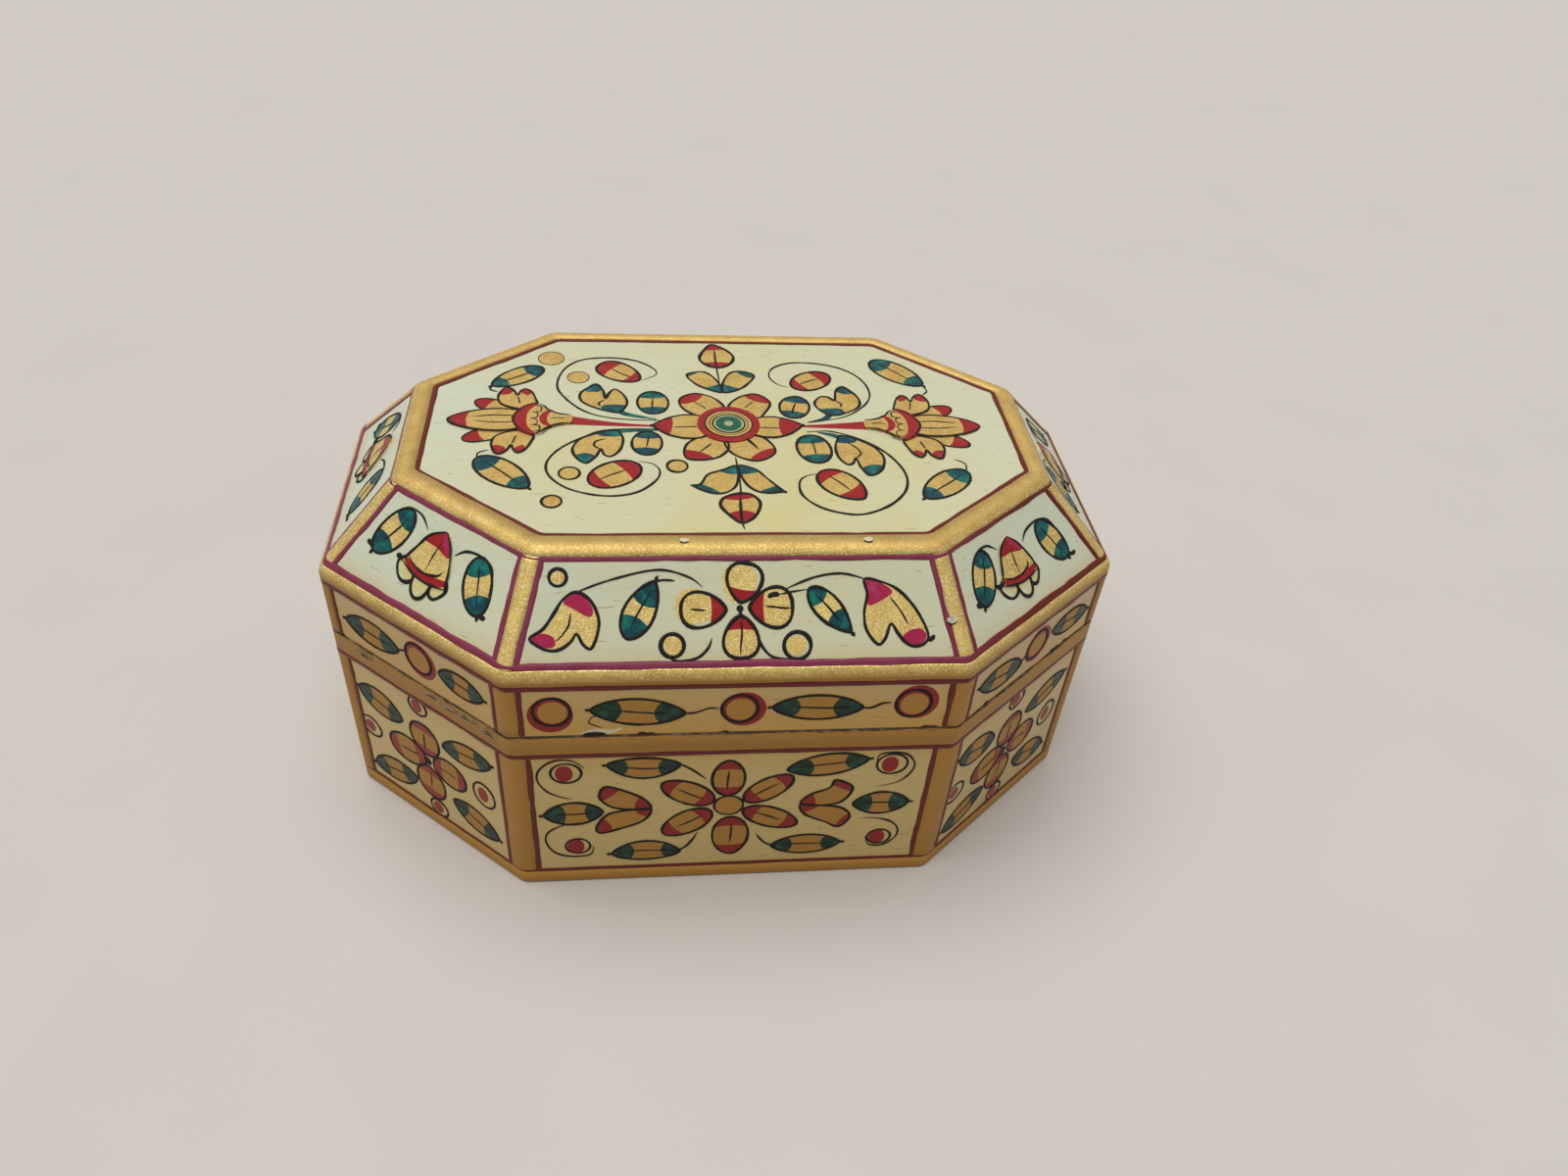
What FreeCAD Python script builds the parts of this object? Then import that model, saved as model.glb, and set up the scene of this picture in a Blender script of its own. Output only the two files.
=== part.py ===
"""Octagonal trinket box with a lift-off lid: a wooden carcass clad in bone.

Millimetres. The origin is under the middle of the base, X runs along the box,
the front faces -Y and Z points up. Every board is a strip with one section,
mitred at both ends to meet the boards beside it.
"""
import FreeCAD
import Part
import Sketcher
import os
from collections import namedtuple

# Driving sizes, one spreadsheet row each.
SIZES = {
    "box_length": 102.0,      # over the end faces
    "box_width": 70.0,        # over the front and back faces
    "front_edge": 55.0,       # length of the front and back faces
    "end_edge": 31.0,         # length of the two end faces
    "base_height": 29.0,      # floor to seam
    "skirt_height": 10.2,     # seam to lower ridge
    "bevel_rise": 10.8,       # lower ridge to top
    "bevel_run": 10.2,        # lower ridge to top ridge, seen from above
    "bone_thickness": 2.0,
    "wall_thickness": 3.6,    # wooden walls of the base
    "floor_thickness": 4.0,
    "floor_rebate": 1.8,      # how far the floor is let into the walls
    "lip_thickness": 1.8,
    "lip_rise": 4.0,          # lip above the seam
    "lip_chamfer": 0.8,       # lead-in on top of the lip
    "lid_clearance": 0.4,     # between lip and lid
    "ridge_round": 1.5,       # filed edges of the lid's two ridges
    "seam_round": 0.4,        # eased edges either side of the seam
    "foot_round": 0.5,        # eased lower edge of the base
}

NEAR = 1e-4

# Corner faces: how far each corner is cut back, and the turns between faces.
CUT_X = "(Sizes.box_length - Sizes.front_edge) / 2"
CUT_Y = "(Sizes.box_width - Sizes.end_edge) / 2"
CORNER_HALF = f"hypot({CUT_X}; {CUT_Y}) / 2"
TURN = f"atan2({CUT_Y}; {CUT_X})"
LONG_MITRE = f"tan({TURN} / 2)"
END_MITRE = f"tan((90 deg - {TURN}) / 2)"

# Depths, counted inwards from the outer faces.
WALL_FACE = "Sizes.bone_thickness"
LIP_FACE = f"({WALL_FACE} + Sizes.wall_thickness)"
LIP_BACK = f"({LIP_FACE} + Sizes.lip_thickness)"
SKIRT_BACK = f"({LIP_FACE} - Sizes.lid_clearance)"
FLOOR_EDGE = f"({LIP_FACE} - Sizes.floor_rebate)"

# Heights, counted up from the underside.
FLOOR = "Sizes.floor_thickness"
SEAM = "Sizes.base_height"
LIP_TOP = f"({SEAM} + Sizes.lip_rise)"
RIDGE = f"({SEAM} + Sizes.skirt_height)"
TOP = f"({RIDGE} + Sizes.bevel_rise)"

# The bevel's bone lies parallel to the slope, one thickness outside the lid board.
SLOPE = "atan2(Sizes.bevel_rise; Sizes.bevel_run)"
SKIRT_TOP = f"({RIDGE} - Sizes.bone_thickness * tan((90 deg - {SLOPE}) / 2))"
BOARD_TOP = f"({TOP} - Sizes.bone_thickness)"
BEVEL_TOP_FACE = f"(Sizes.bevel_run - Sizes.bone_thickness / tan({SLOPE}))"
BEVEL_TOP_BACK = f"(Sizes.bevel_run + Sizes.bone_thickness * tan({SLOPE} / 2))"
RIDGE_ROUND = "min(Sizes.ridge_round; 0.9 * Sizes.bone_thickness)"

Side = namedtuple("Side", "name half start_mitre end_mitre x y turn")


def eight_sides():
    """The faces in order, each with its half length, end mitres, middle and turn about Z."""
    long_half = "Sizes.front_edge / 2"
    end_half = "Sizes.end_edge / 2"
    front = "Sizes.box_width / 2"
    end = "Sizes.box_length / 2"
    corner_x = "(Sizes.box_length + Sizes.front_edge) / 4"
    corner_y = "(Sizes.box_width + Sizes.end_edge) / 4"
    return [
        Side("front", long_half, LONG_MITRE, LONG_MITRE, "0", f"-{front}", "0 deg"),
        Side("front_right", CORNER_HALF, LONG_MITRE, END_MITRE, corner_x, f"-{corner_y}", TURN),
        Side("right", end_half, END_MITRE, END_MITRE, end, "0", "90 deg"),
        Side("back_right", CORNER_HALF, END_MITRE, LONG_MITRE, corner_x, corner_y, f"180 deg - {TURN}"),
        Side("back", long_half, LONG_MITRE, LONG_MITRE, "0", front, "180 deg"),
        Side("back_left", CORNER_HALF, LONG_MITRE, END_MITRE, f"-{corner_x}", corner_y, f"180 deg + {TURN}"),
        Side("left", end_half, END_MITRE, END_MITRE, f"-{end}", "0", "270 deg"),
        Side("front_left", CORNER_HALF, END_MITRE, LONG_MITRE, f"-{corner_x}", f"-{corner_y}", f"-{TURN}"),
    ]


def make_sizes(doc):
    """Put the driving sizes in a spreadsheet, each cell named by its alias."""
    sheet = doc.addObject("Spreadsheet::Sheet", "Sizes")
    for row, (alias, value) in enumerate(SIZES.items(), start=1):
        sheet.set(f"A{row}", alias)
        sheet.set(f"B{row}", str(value))
        sheet.setAlias(f"B{row}", alias)
    doc.recompute()
    return sheet


def measure(obj, expression):
    """What an expression comes to, as a plain number."""
    value = obj.evalExpression(expression)
    return float(getattr(value, "Value", value))


def new_body(doc, node):
    """An empty body whose label is the node's name."""
    body = doc.addObject("PartDesign::Body", node)
    body.Label = node
    return body


def place(body, side):
    """Stand a body's own X along a side of the box, with its own Y pointing inwards."""
    body.Placement = FreeCAD.Placement(FreeCAD.Vector(0, 0, 0), FreeCAD.Rotation(FreeCAD.Vector(0, 0, 1), 0))
    body.setExpression("Placement.Base.x", side.x)
    body.setExpression("Placement.Base.y", side.y)
    body.setExpression("Placement.Rotation.Angle", side.turn)


def outline_sketch(body, plane_role, name, outlines, height=None):
    """A sketch of closed outlines, every corner tied to its two expressions."""
    sketch = body.newObject("Sketcher::SketchObject", name)
    plane = next(item for item in body.Origin.OriginFeatures if item.Role == plane_role)
    sketch.AttachmentSupport = [(plane, "")]
    sketch.MapMode = "FlatFace"
    if height is not None:
        sketch.setExpression("AttachmentOffset.Base.z", height)
    for outline in outlines:
        add_outline(sketch, outline)
    return sketch


def add_outline(sketch, outline):
    """Draw one closed outline and drive its corners from the sheet."""
    corners = [FreeCAD.Vector(measure(sketch, u), measure(sketch, v), 0) for u, v in outline]
    first = sketch.GeometryCount
    for start, end in zip(corners, corners[1:] + corners[:1]):
        sketch.addGeometry(Part.LineSegment(start, end), False)
    for index, (u, v) in enumerate(outline):
        line = first + index
        after = first + (index + 1) % len(outline)
        sketch.addConstraint(Sketcher.Constraint("Coincident", line, 2, after, 1))
        tie_corner(sketch, "DistanceX", line, corners[index].x, u)
        tie_corner(sketch, "DistanceY", line, corners[index].y, v)


def tie_corner(sketch, kind, line, value, expression):
    """Tie the start of a line to its distance from the sketch's origin."""
    number = sketch.addConstraint(Sketcher.Constraint(kind, line, 1, value))
    sketch.setExpression(f"Constraints[{number}]", expression)


def octagon(depth):
    """Corners of the box's outline, set in by a depth all round."""
    across = f"(Sizes.box_width / 2 - {depth})"
    along = f"(Sizes.box_length / 2 - {depth})"
    long_half = f"(Sizes.front_edge / 2 - {depth} * {LONG_MITRE})"
    end_half = f"(Sizes.end_edge / 2 - {depth} * {END_MITRE})"
    return [
        (f"-{long_half}", f"-{across}"),
        (long_half, f"-{across}"),
        (along, f"-{end_half}"),
        (along, end_half),
        (long_half, across),
        (f"-{long_half}", across),
        (f"-{along}", end_half),
        (f"-{along}", f"-{end_half}"),
    ]


def mitre_cuts(side):
    """Plan outlines of the waste beyond the mitre at either end of a strip."""
    outer = "-Sizes.bone_thickness"
    inner = f"({BEVEL_TOP_BACK} + Sizes.lip_thickness)"
    waste = f"({side.half} + 2 * Sizes.bone_thickness)"
    cuts = []
    for sign, mitre in (("-", side.start_mitre), ("", side.end_mitre)):
        cuts.append([
            (f"{sign}({side.half} - {outer} * {mitre})", outer),
            (f"{sign}({side.half} - {inner} * {mitre})", inner),
            (f"{sign}{waste}", inner),
            (f"{sign}{waste}", outer),
        ])
    return cuts


def long_edge(shape, depth, height):
    """Name of the edge that runs along a strip at a depth and height."""
    for number, edge in enumerate(shape.Edges, start=1):
        if all(abs(v.Y - depth) < NEAR and abs(v.Z - height) < NEAR for v in edge.Vertexes):
            return f"Edge{number}"
    raise RuntimeError(f"no edge at depth {depth} and height {height}")


def round_edges(doc, body, base, edges, radius):
    """Round the named edges of a feature."""
    fillet = body.newObject("PartDesign::Fillet", "Rounding")
    fillet.Base = (base, edges)
    fillet.setExpression("Radius", radius)
    doc.recompute()
    return fillet


def make_strip(doc, node, side, section, rounding=()):
    """A board of one section along a side, rounded where asked and mitred at both ends."""
    body = new_body(doc, node)
    bar = body.newObject("PartDesign::Pad", "Bar")
    bar.Profile = outline_sketch(body, "YZ_Plane", "Section", [section])
    bar.SideType = "Symmetric"
    bar.setExpression("Length", f"2 * {side.half}")
    doc.recompute()
    last = bar
    for depth, height, radius in rounding:
        edge = long_edge(last.Shape, measure(body, depth), measure(body, height))
        last = round_edges(doc, body, last, [edge], radius)
    cut = body.newObject("PartDesign::Pocket", "Mitres")
    cut.Profile = outline_sketch(body, "XY_Plane", "Waste", mitre_cuts(side))
    cut.Type = "ThroughAll"
    cut.SideType = "Symmetric"
    place(body, side)
    doc.recompute()
    if not cut.Shape.Volume < last.Shape.Volume:
        raise RuntimeError(f"the mitres of {node} cut nothing")
    return body


def rectangle(face, back, low, high):
    """Section of a plain board between two depths and two heights."""
    return [(face, low), (back, low), (back, high), (face, high)]


def make_base_strips(doc, side):
    """Wooden wall, bone panel and inner lip on one side of the base."""
    wall = [
        (WALL_FACE, "0"),
        (FLOOR_EDGE, "0"),
        (FLOOR_EDGE, FLOOR),
        (LIP_FACE, FLOOR),
        (LIP_FACE, SEAM),
        (WALL_FACE, SEAM),
    ]
    lip = [
        (LIP_FACE, FLOOR),
        (LIP_BACK, FLOOR),
        (LIP_BACK, LIP_TOP),
        (f"({LIP_FACE} + Sizes.lip_chamfer)", LIP_TOP),
        (LIP_FACE, f"({LIP_TOP} - Sizes.lip_chamfer)"),
    ]
    eased = [("0", SEAM, "Sizes.seam_round"), ("0", "0", "Sizes.foot_round")]
    return [
        make_strip(doc, f"base_wall_{side.name}", side, wall),
        make_strip(doc, f"base_panel_{side.name}", side, rectangle("0", WALL_FACE, "0", SEAM), eased),
        make_strip(doc, f"lip_strip_{side.name}", side, lip),
    ]


def make_lid_strips(doc, side):
    """Wooden skirt board, bone skirt panel and bone bevel panel on one side of the lid."""
    bevel = [
        ("0", SKIRT_TOP),
        (WALL_FACE, SKIRT_TOP),
        (BEVEL_TOP_BACK, BOARD_TOP),
        (BEVEL_TOP_FACE, BOARD_TOP),
        ("0", RIDGE),
    ]
    eased = [("0", SEAM, "Sizes.seam_round")]
    filed = [("0", RIDGE, RIDGE_ROUND)]
    board = rectangle(WALL_FACE, SKIRT_BACK, SEAM, SKIRT_TOP)
    return [
        make_strip(doc, f"lid_skirt_board_{side.name}", side, board),
        make_strip(doc, f"lid_skirt_panel_{side.name}", side, rectangle("0", WALL_FACE, SEAM, SKIRT_TOP), eased),
        make_strip(doc, f"lid_bevel_panel_{side.name}", side, bevel, filed),
    ]


def make_floor(doc):
    """Floor board, let into the rebates of the walls."""
    body = new_body(doc, "base_floor")
    board = body.newObject("PartDesign::Pad", "Board")
    board.Profile = outline_sketch(body, "XY_Plane", "Outline", [octagon(FLOOR_EDGE)])
    board.setExpression("Length", FLOOR)
    doc.recompute()
    return body


def make_bevelled_plate(doc, node, depth, low, high):
    """An octagonal plate between two heights, its edges drawn in along the bevel's slope."""
    body = new_body(doc, node)
    plate = body.newObject("PartDesign::Pad", "Plate")
    plate.Profile = outline_sketch(body, "XY_Plane", "Underside", [octagon(depth)], low)
    plate.setExpression("Length", f"{high} - {low}")
    doc.recompute()
    edges = []
    underside = []
    for number, face in enumerate(plate.Shape.Faces, start=1):
        lean = face.normalAt(0, 0).z
        if abs(lean) < NEAR:
            edges.append(f"Face{number}")
        elif lean < 0:
            underside.append(f"Face{number}")
    bevel = body.newObject("PartDesign::Draft", "Bevel")
    bevel.Base = (plate, edges)
    bevel.NeutralPlane = (plate, underside)
    bevel.setExpression("Angle", f"90 deg - {SLOPE}")
    doc.recompute()
    return body


def make_lid_board(doc):
    """Solid board of the lid, bevelled on all sides, standing on the skirt boards."""
    return make_bevelled_plate(doc, "lid_board", WALL_FACE, SKIRT_TOP, BOARD_TOP)


def make_top_panel(doc):
    """Bone panel on top of the lid, with its rim filed round."""
    body = make_bevelled_plate(doc, "lid_top_panel", BEVEL_TOP_FACE, BOARD_TOP, TOP)
    plate = body.Tip
    height = measure(body, TOP)
    rim = []
    for number, edge in enumerate(plate.Shape.Edges, start=1):
        if all(abs(v.Z - height) < NEAR for v in edge.Vertexes):
            rim.append(f"Edge{number}")
    round_edges(doc, body, plate, rim, RIDGE_ROUND)
    return body


def check(doc, bodies):
    """Stop if any object failed or any body isn't one valid solid."""
    for item in doc.Objects:
        if "Invalid" in item.State or "Error" in item.State:
            raise RuntimeError(f"{item.Label} did not rebuild: {item.State}")
    for body in bodies:
        shape = body.Shape
        if shape.isNull() or not shape.isValid() or len(shape.Solids) != 1:
            raise RuntimeError(f"{body.Label} is not one valid solid")


def main():
    doc = FreeCAD.newDocument("bone_clad_box")
    make_sizes(doc)
    bodies = [make_floor(doc)]
    for side in eight_sides():
        bodies += make_base_strips(doc, side)
    bodies += [make_lid_board(doc), make_top_panel(doc)]
    for side in eight_sides():
        bodies += make_lid_strips(doc, side)
    doc.recompute()
    check(doc, bodies)
    os.makedirs("parts", exist_ok=True)
    for body in bodies:
        body.Shape.exportStep(f"parts/{body.Label}.step")


main()
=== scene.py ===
"""Painted trinket box: bone and wood finishes, gilded edges, ruled lines and painted flowers.

Lengths are in millimetres, and MM turns them into the frame's metres. Paint is laid out on its panel:
u runs left to right as the panel is seen from outside, v runs up from its lower edge, and the top
panel uses the frame's own X and Y.
"""
import math
from collections import defaultdict, namedtuple

import bmesh
import bpy
from mathutils import Matrix, Vector, noise


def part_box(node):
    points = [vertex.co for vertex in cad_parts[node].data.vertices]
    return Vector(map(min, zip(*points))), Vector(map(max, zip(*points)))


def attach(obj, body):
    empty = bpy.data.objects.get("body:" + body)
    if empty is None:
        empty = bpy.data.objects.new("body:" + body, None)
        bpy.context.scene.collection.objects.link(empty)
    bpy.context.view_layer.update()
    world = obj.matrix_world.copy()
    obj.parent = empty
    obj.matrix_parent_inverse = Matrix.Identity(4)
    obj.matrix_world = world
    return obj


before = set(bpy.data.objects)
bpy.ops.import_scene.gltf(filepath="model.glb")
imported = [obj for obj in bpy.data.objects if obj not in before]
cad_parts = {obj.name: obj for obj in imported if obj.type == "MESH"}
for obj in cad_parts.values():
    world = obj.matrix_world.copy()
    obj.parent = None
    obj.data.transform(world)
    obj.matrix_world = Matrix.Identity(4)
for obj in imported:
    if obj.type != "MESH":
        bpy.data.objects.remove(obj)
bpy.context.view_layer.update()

bl_info = {
    "name": "Painted Trinket Box",
    "version": (1, 0, 0),
    "blender": (4, 5, 0),
    "location": "3D View > Sidebar > Trinket Box",
    "description": "Finishes, gilds and paints an octagonal bone-clad trinket box",
    "category": "Object",
}

MM = 0.001
SIDES = ("front", "front_right", "right", "back_right", "back", "back_left", "left", "front_left")
SIDE_COUNT = len(SIDES)
FRONT = SIDES.index("front")
FRONT_LEFT = SIDES.index("front_left")
LID, BASE = "lid", "base"


# Properties

def colour(hex_code):
    """Linear red, green and blue of an sRGB hex colour."""
    channels = [int(hex_code[i:i + 2], 16) / 255 for i in (1, 3, 5)]
    return tuple(c / 12.92 if c <= 0.04045 else ((c + 0.055) / 1.055) ** 2.4 for c in channels)


def length(name, millimetres, description):
    """A length that the user may change, given in millimetres."""
    return bpy.props.FloatProperty(
        name=name, description=description, default=millimetres * MM, min=0.0, precision=5, unit="LENGTH")


def tint(name, hex_code, description):
    """A colour that the user may change."""
    return bpy.props.FloatVectorProperty(
        name=name, description=description, default=colour(hex_code), min=0.0, max=1.0, size=3,
        subtype="COLOR")


class BOX_PG_gilding(bpy.types.PropertyGroup):
    """Widths of the gold bands and of the ruled lines beside them."""
    top_band: length("Top band", 1.85, "Gold on the top, in from the upper ridge")
    slope_band: length("Slope band", 1.0, "Gold on the slopes, down from the upper ridge")
    slope_foot: length("Slope foot", 0.65, "Gold on the slopes, up from the lower ridge")
    hip_band: length("Hip band", 1.05, "Gold either side of a hip between two slopes")
    ridge_band: length("Ridge band", 1.35, "Gold on the skirt, down from the lower ridge")
    skirt_post: length("Skirt post", 1.4, "Gold either side of a corner of the skirt")
    seam_band: length("Seam band", 2.9, "Gold on the base, down from the seam")
    base_post: length("Base post", 1.8, "Gold either side of a corner of the base")
    foot_band: length("Foot band", 2.3, "Gold on the base, up from its foot")
    film: length("Film", 0.14, "Thickness of the gold paint, which rounds the corners as far as it can")
    wander: length("Wander", 0.16, "How far the edge of a gold band strays")
    ruled: length("Ruled line", 0.98, "Width of the lines that run round the box")
    upright: length("Upright line", 0.68, "Width of the lines beside the corners")


class BOX_PG_brush(bpy.types.PropertyGroup):
    """Sizes of the painted marks."""
    ink: length("Ink line", 0.37, "Width of the dark outlines")
    coat: length("Coat", 0.03, "Thickness of the first coat of a petal")
    step: length("Step", 0.012, "How much each later coat stands above the one under it")
    layer: length("Layer", 0.09, "How much a petal painted over another and its outline stands above them")
    drift: length("Drift", 0.3, "How far a repeated panel strays from its pattern")


class BOX_PG_colours(bpy.types.PropertyGroup):
    """Colours of the bone, wood and paints."""
    bone: tint("Bone", "#CED7C1", "Clean bone")
    straw: tint("Straw", "#D2C684", "Bone on the lid and base where its lacquer has yellowed")
    amber: tint("Amber", "#C79A3C", "Bone on the skirt and base where its lacquer has browned")
    gold: tint("Gold", "#D3B764", "Gold paint")
    gold_shade: tint("Gold shade", "#AE8A3A", "Gold paint where it lies thin")
    # Bright flakes of the gold paint, laid only where light catches them: partly painted glints
    gold_flake_glint: tint("Gold flake", "#FAEAB0", "Bright flakes in the gold paint")
    # Painted shade: the gold below the lower ridge takes this colour, and the top takes a little of it
    bronze: tint("Bronze", "#AD7F36", "Gold paint on the skirt and base")
    red: tint("Red", "#981A20", "Red paint")
    vermilion: tint("Vermilion", "#A52D30", "Red paint where it lies thin")
    brick: tint("Brick", "#8E1E18", "Red paint on the skirt and base where its lacquer has browned")
    raspberry: tint("Raspberry", "#A5234A", "Raspberry paint")
    pink: tint("Pink", "#B44C78", "Raspberry paint where it lies thin")
    sea_green: tint("Sea green", "#A7AC80", "Pale paint in the eye of the rosette")
    jade: tint("Jade", "#1D6349", "Green paint in the eye of the rosette")
    teal: tint("Teal", "#083E48", "Teal paint")
    teal_light: tint("Light teal", "#0F7466", "Teal paint where it lies thin")
    green: tint("Green", "#0E2A20", "Dark green paint")
    green_light: tint("Light green", "#1C5540", "Dark green paint where it lies thin")
    magenta: tint("Magenta", "#863450", "Ruled lines on most of the slopes")
    maroon: tint("Maroon", "#661E16", "All other ruled lines")
    ink: tint("Ink", "#0C0B0A", "Dark outlines")
    # Also the deep colour of the dark line painted along the seam as the shade in the gap under the lid
    grime: tint("Grime", "#4B4034", "Worn paint along the seam")
    dust: tint("Dust", "#998B78", "Grey scuffs along the seam")
    filler: tint("Filler", "#D8CDB0", "Pale ground where paint has chipped off")
    wood: tint("Wood", "#8A5A33", "Wood of the carcass")
    wood_dark: tint("Dark wood", "#5B371D", "Late grain of the wood")


class BOX_PG_stage(bpy.types.PropertyGroup):
    """Floor, light and camera."""
    floor: tint("Floor", "#D3CDC5", "Pale floor and background")
    key: bpy.props.FloatProperty(
        name="Key light", description="Strength of the broad soft light overhead", default=2.5, min=0.0)
    key_spread: bpy.props.FloatProperty(
        name="Key spread", description="How broad the light overhead is", default=math.radians(60), min=0.0,
        max=math.pi, subtype="ANGLE")
    fill: bpy.props.FloatProperty(
        name="Fill", description="Strength of the even light from all round", default=0.2, min=0.0)


# Shape of the box, read from the frame, in millimetres

Form = namedtuple("Form", "half_length half_width front_half end_half seam ridge top slope_run slope_rise")


def span(node):
    """Lowest and highest corner of a node."""
    low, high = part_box(node)
    return low / MM, high / MM


def slope_face(node):
    """The widest face of a bevel panel that looks up and outwards."""
    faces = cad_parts[node].data.polygons
    return max((face for face in faces if face.normal.z > 0.1), key=lambda face: face.area)


def read_form():
    """Measure the box from its packed panels."""
    front_low, front_high = span("base_panel_front")
    end_high = span("base_panel_right")[1]
    top = span("lid_top_panel")[1].z
    face = slope_face("lid_bevel_panel_front")
    normal, point = face.normal, face.center / MM
    ridge = (normal.dot(point) - normal.y * front_low.y) / normal.z
    run = -front_low.y + (normal.dot(point) - normal.z * top) / normal.y
    return Form(end_high.x, -front_low.y, front_high.x, end_high.y, front_high.z, ridge, top, run,
                top - ridge)


FORM = read_form()
TURN = math.atan2(FORM.half_width - FORM.end_half, FORM.half_length - FORM.front_half)
LONG_MITRE = math.tan(TURN / 2)
END_MITRE = math.tan((math.pi / 2 - TURN) / 2)
SLANT = math.hypot(FORM.slope_run, FORM.slope_rise)
RIDGE_ROUND = 1.5
SEAM_ROUND = 0.4
FOOT_ROUND = 0.5


def octagon(inset, height):
    """Corners of the box's outline at an inset and a height. Side k runs from corner k to the next."""
    across = FORM.half_width - inset
    along = FORM.half_length - inset
    front = FORM.front_half - inset * LONG_MITRE
    end = FORM.end_half - inset * END_MITRE
    plan = [(-front, -across), (front, -across), (along, -end), (along, end),
            (front, across), (-front, across), (-along, end), (-along, -end)]
    return [Vector((x, y, height)) for x, y in plan]


class Panel:
    """A flat face of the box: its own directions, and its left and right edges at each height."""

    def __init__(self, body, lower, upper):
        low_left, low_right = lower
        up_left, up_right = upper
        self.body = body
        self.across = (low_right - low_left).normalized()
        self.middle = (low_left + low_right) / 2
        rise = up_left - low_left
        rise -= self.across * rise.dot(self.across)
        self.height = rise.length
        self.up = rise.normalized()
        self.facing = self.across.cross(self.up)
        self.ends = [[self.across.dot(corner - self.middle) for corner in pair]
                     for pair in ((low_left, up_left), (low_right, up_right))]

    def at(self, u, v, lift=0.0):
        """The point of the frame at a place on the panel, in millimetres."""
        return self.middle + self.across * u + self.up * v + self.facing * lift

    def edge(self, end, v):
        """Where the left (0) or right (1) edge of the panel is at a height."""
        low, high = self.ends[end]
        return low + (high - low) * v / self.height


def wall_panel(body, side, low, high, inset_high=0.0):
    """The panel of one side between two heights, leaning in by an inset."""
    lower = octagon(0.0, low)
    upper = octagon(inset_high, high)
    after = (side + 1) % SIDE_COUNT
    return Panel(body, (lower[side], lower[after]), (upper[side], upper[after]))


def top_panel():
    """The top of the lid, with its origin on the frame's own axes."""
    return Panel(LID, (Vector((-1, 0, FORM.top)), Vector((1, 0, FORM.top))),
                 (Vector((-1, 1, FORM.top)), Vector((1, 1, FORM.top))))


def side_panels(side):
    """The slope, the skirt and the base panel of one side."""
    return (wall_panel(LID, side, FORM.ridge, FORM.top, FORM.slope_run),
            wall_panel(LID, side, FORM.seam, FORM.ridge),
            wall_panel(BASE, side, 0.0, FORM.seam))


# Nodes and materials

RAMP = "ShaderNodeMapRange"
MATH = "ShaderNodeMath"
MIX = "ShaderNodeMix"
TIMES = {"operation": "MULTIPLY", "use_clamp": True}
GREATER = {"operation": "MAXIMUM", "use_clamp": True}


def feed(tree, node, inputs):
    """Give a node its inputs, by name or in order. Each takes a link from a socket, or from a node's
    first live output, or else a value; a colour may leave out its alpha."""
    for key, value in inputs.items() if isinstance(inputs, dict) else enumerate(inputs):
        socket = next(item for place, item in enumerate(node.inputs)
                      if key in (place, item.identifier, item.name))
        if isinstance(value, bpy.types.Node):
            value = next(item for item in value.outputs if item.enabled)
        if isinstance(value, bpy.types.NodeSocket):
            tree.links.new(value, socket)
        elif socket.type == "RGBA" and len(value) == 3:
            socket.default_value = (*value, 1.0)
        else:
            socket.default_value = value


def add(tree, kind, inputs=(), **settings):
    """Add a node with its settings and links."""
    node = tree.nodes.new(kind)
    for name, value in settings.items():
        setattr(node, name, value)
    feed(tree, node, inputs)
    return node


def start_material(name, even):
    """A material, its tree and its shader, with the values that are even all over set."""
    material = bpy.data.materials.new(name)
    material.use_nodes = True
    tree = material.node_tree
    shader = tree.nodes["Principled BSDF"]
    feed(tree, shader, even)
    return material, tree, shader


def pattern(tree, size, turn=0.0, stretch=1.0, detail=3.0, seed=0.0):
    """Noise whose features are a size in millimetres, drawn out along a turn about Z."""
    place = add(tree, "ShaderNodeTexCoord").outputs["Object"]
    turned = add(tree, "ShaderNodeMapping", {"Vector": place, "Rotation": (0, 0, -turn)})
    fine = 1 / (size * MM)
    scaled = add(tree, "ShaderNodeMapping", {"Vector": turned, "Scale": (fine / stretch, fine, fine),
                                             "Location": (seed, 0, 0)})
    return add(tree, "ShaderNodeTexNoise", {"Vector": scaled, "Scale": 1.0, "Detail": detail})


def object_axis(tree, axis):
    """The object's own X, Y or Z."""
    place = add(tree, "ShaderNodeTexCoord").outputs["Object"]
    return add(tree, "ShaderNodeSeparateXYZ", {"Vector": place}).outputs[axis]


def by_height(tree, low, high, to_low=0.0, to_high=1.0):
    """A share that changes between two heights of the box, in millimetres, and holds beyond them."""
    return add(tree, RAMP, (object_axis(tree, "Z"), low * MM, high * MM, to_low, to_high))


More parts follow.
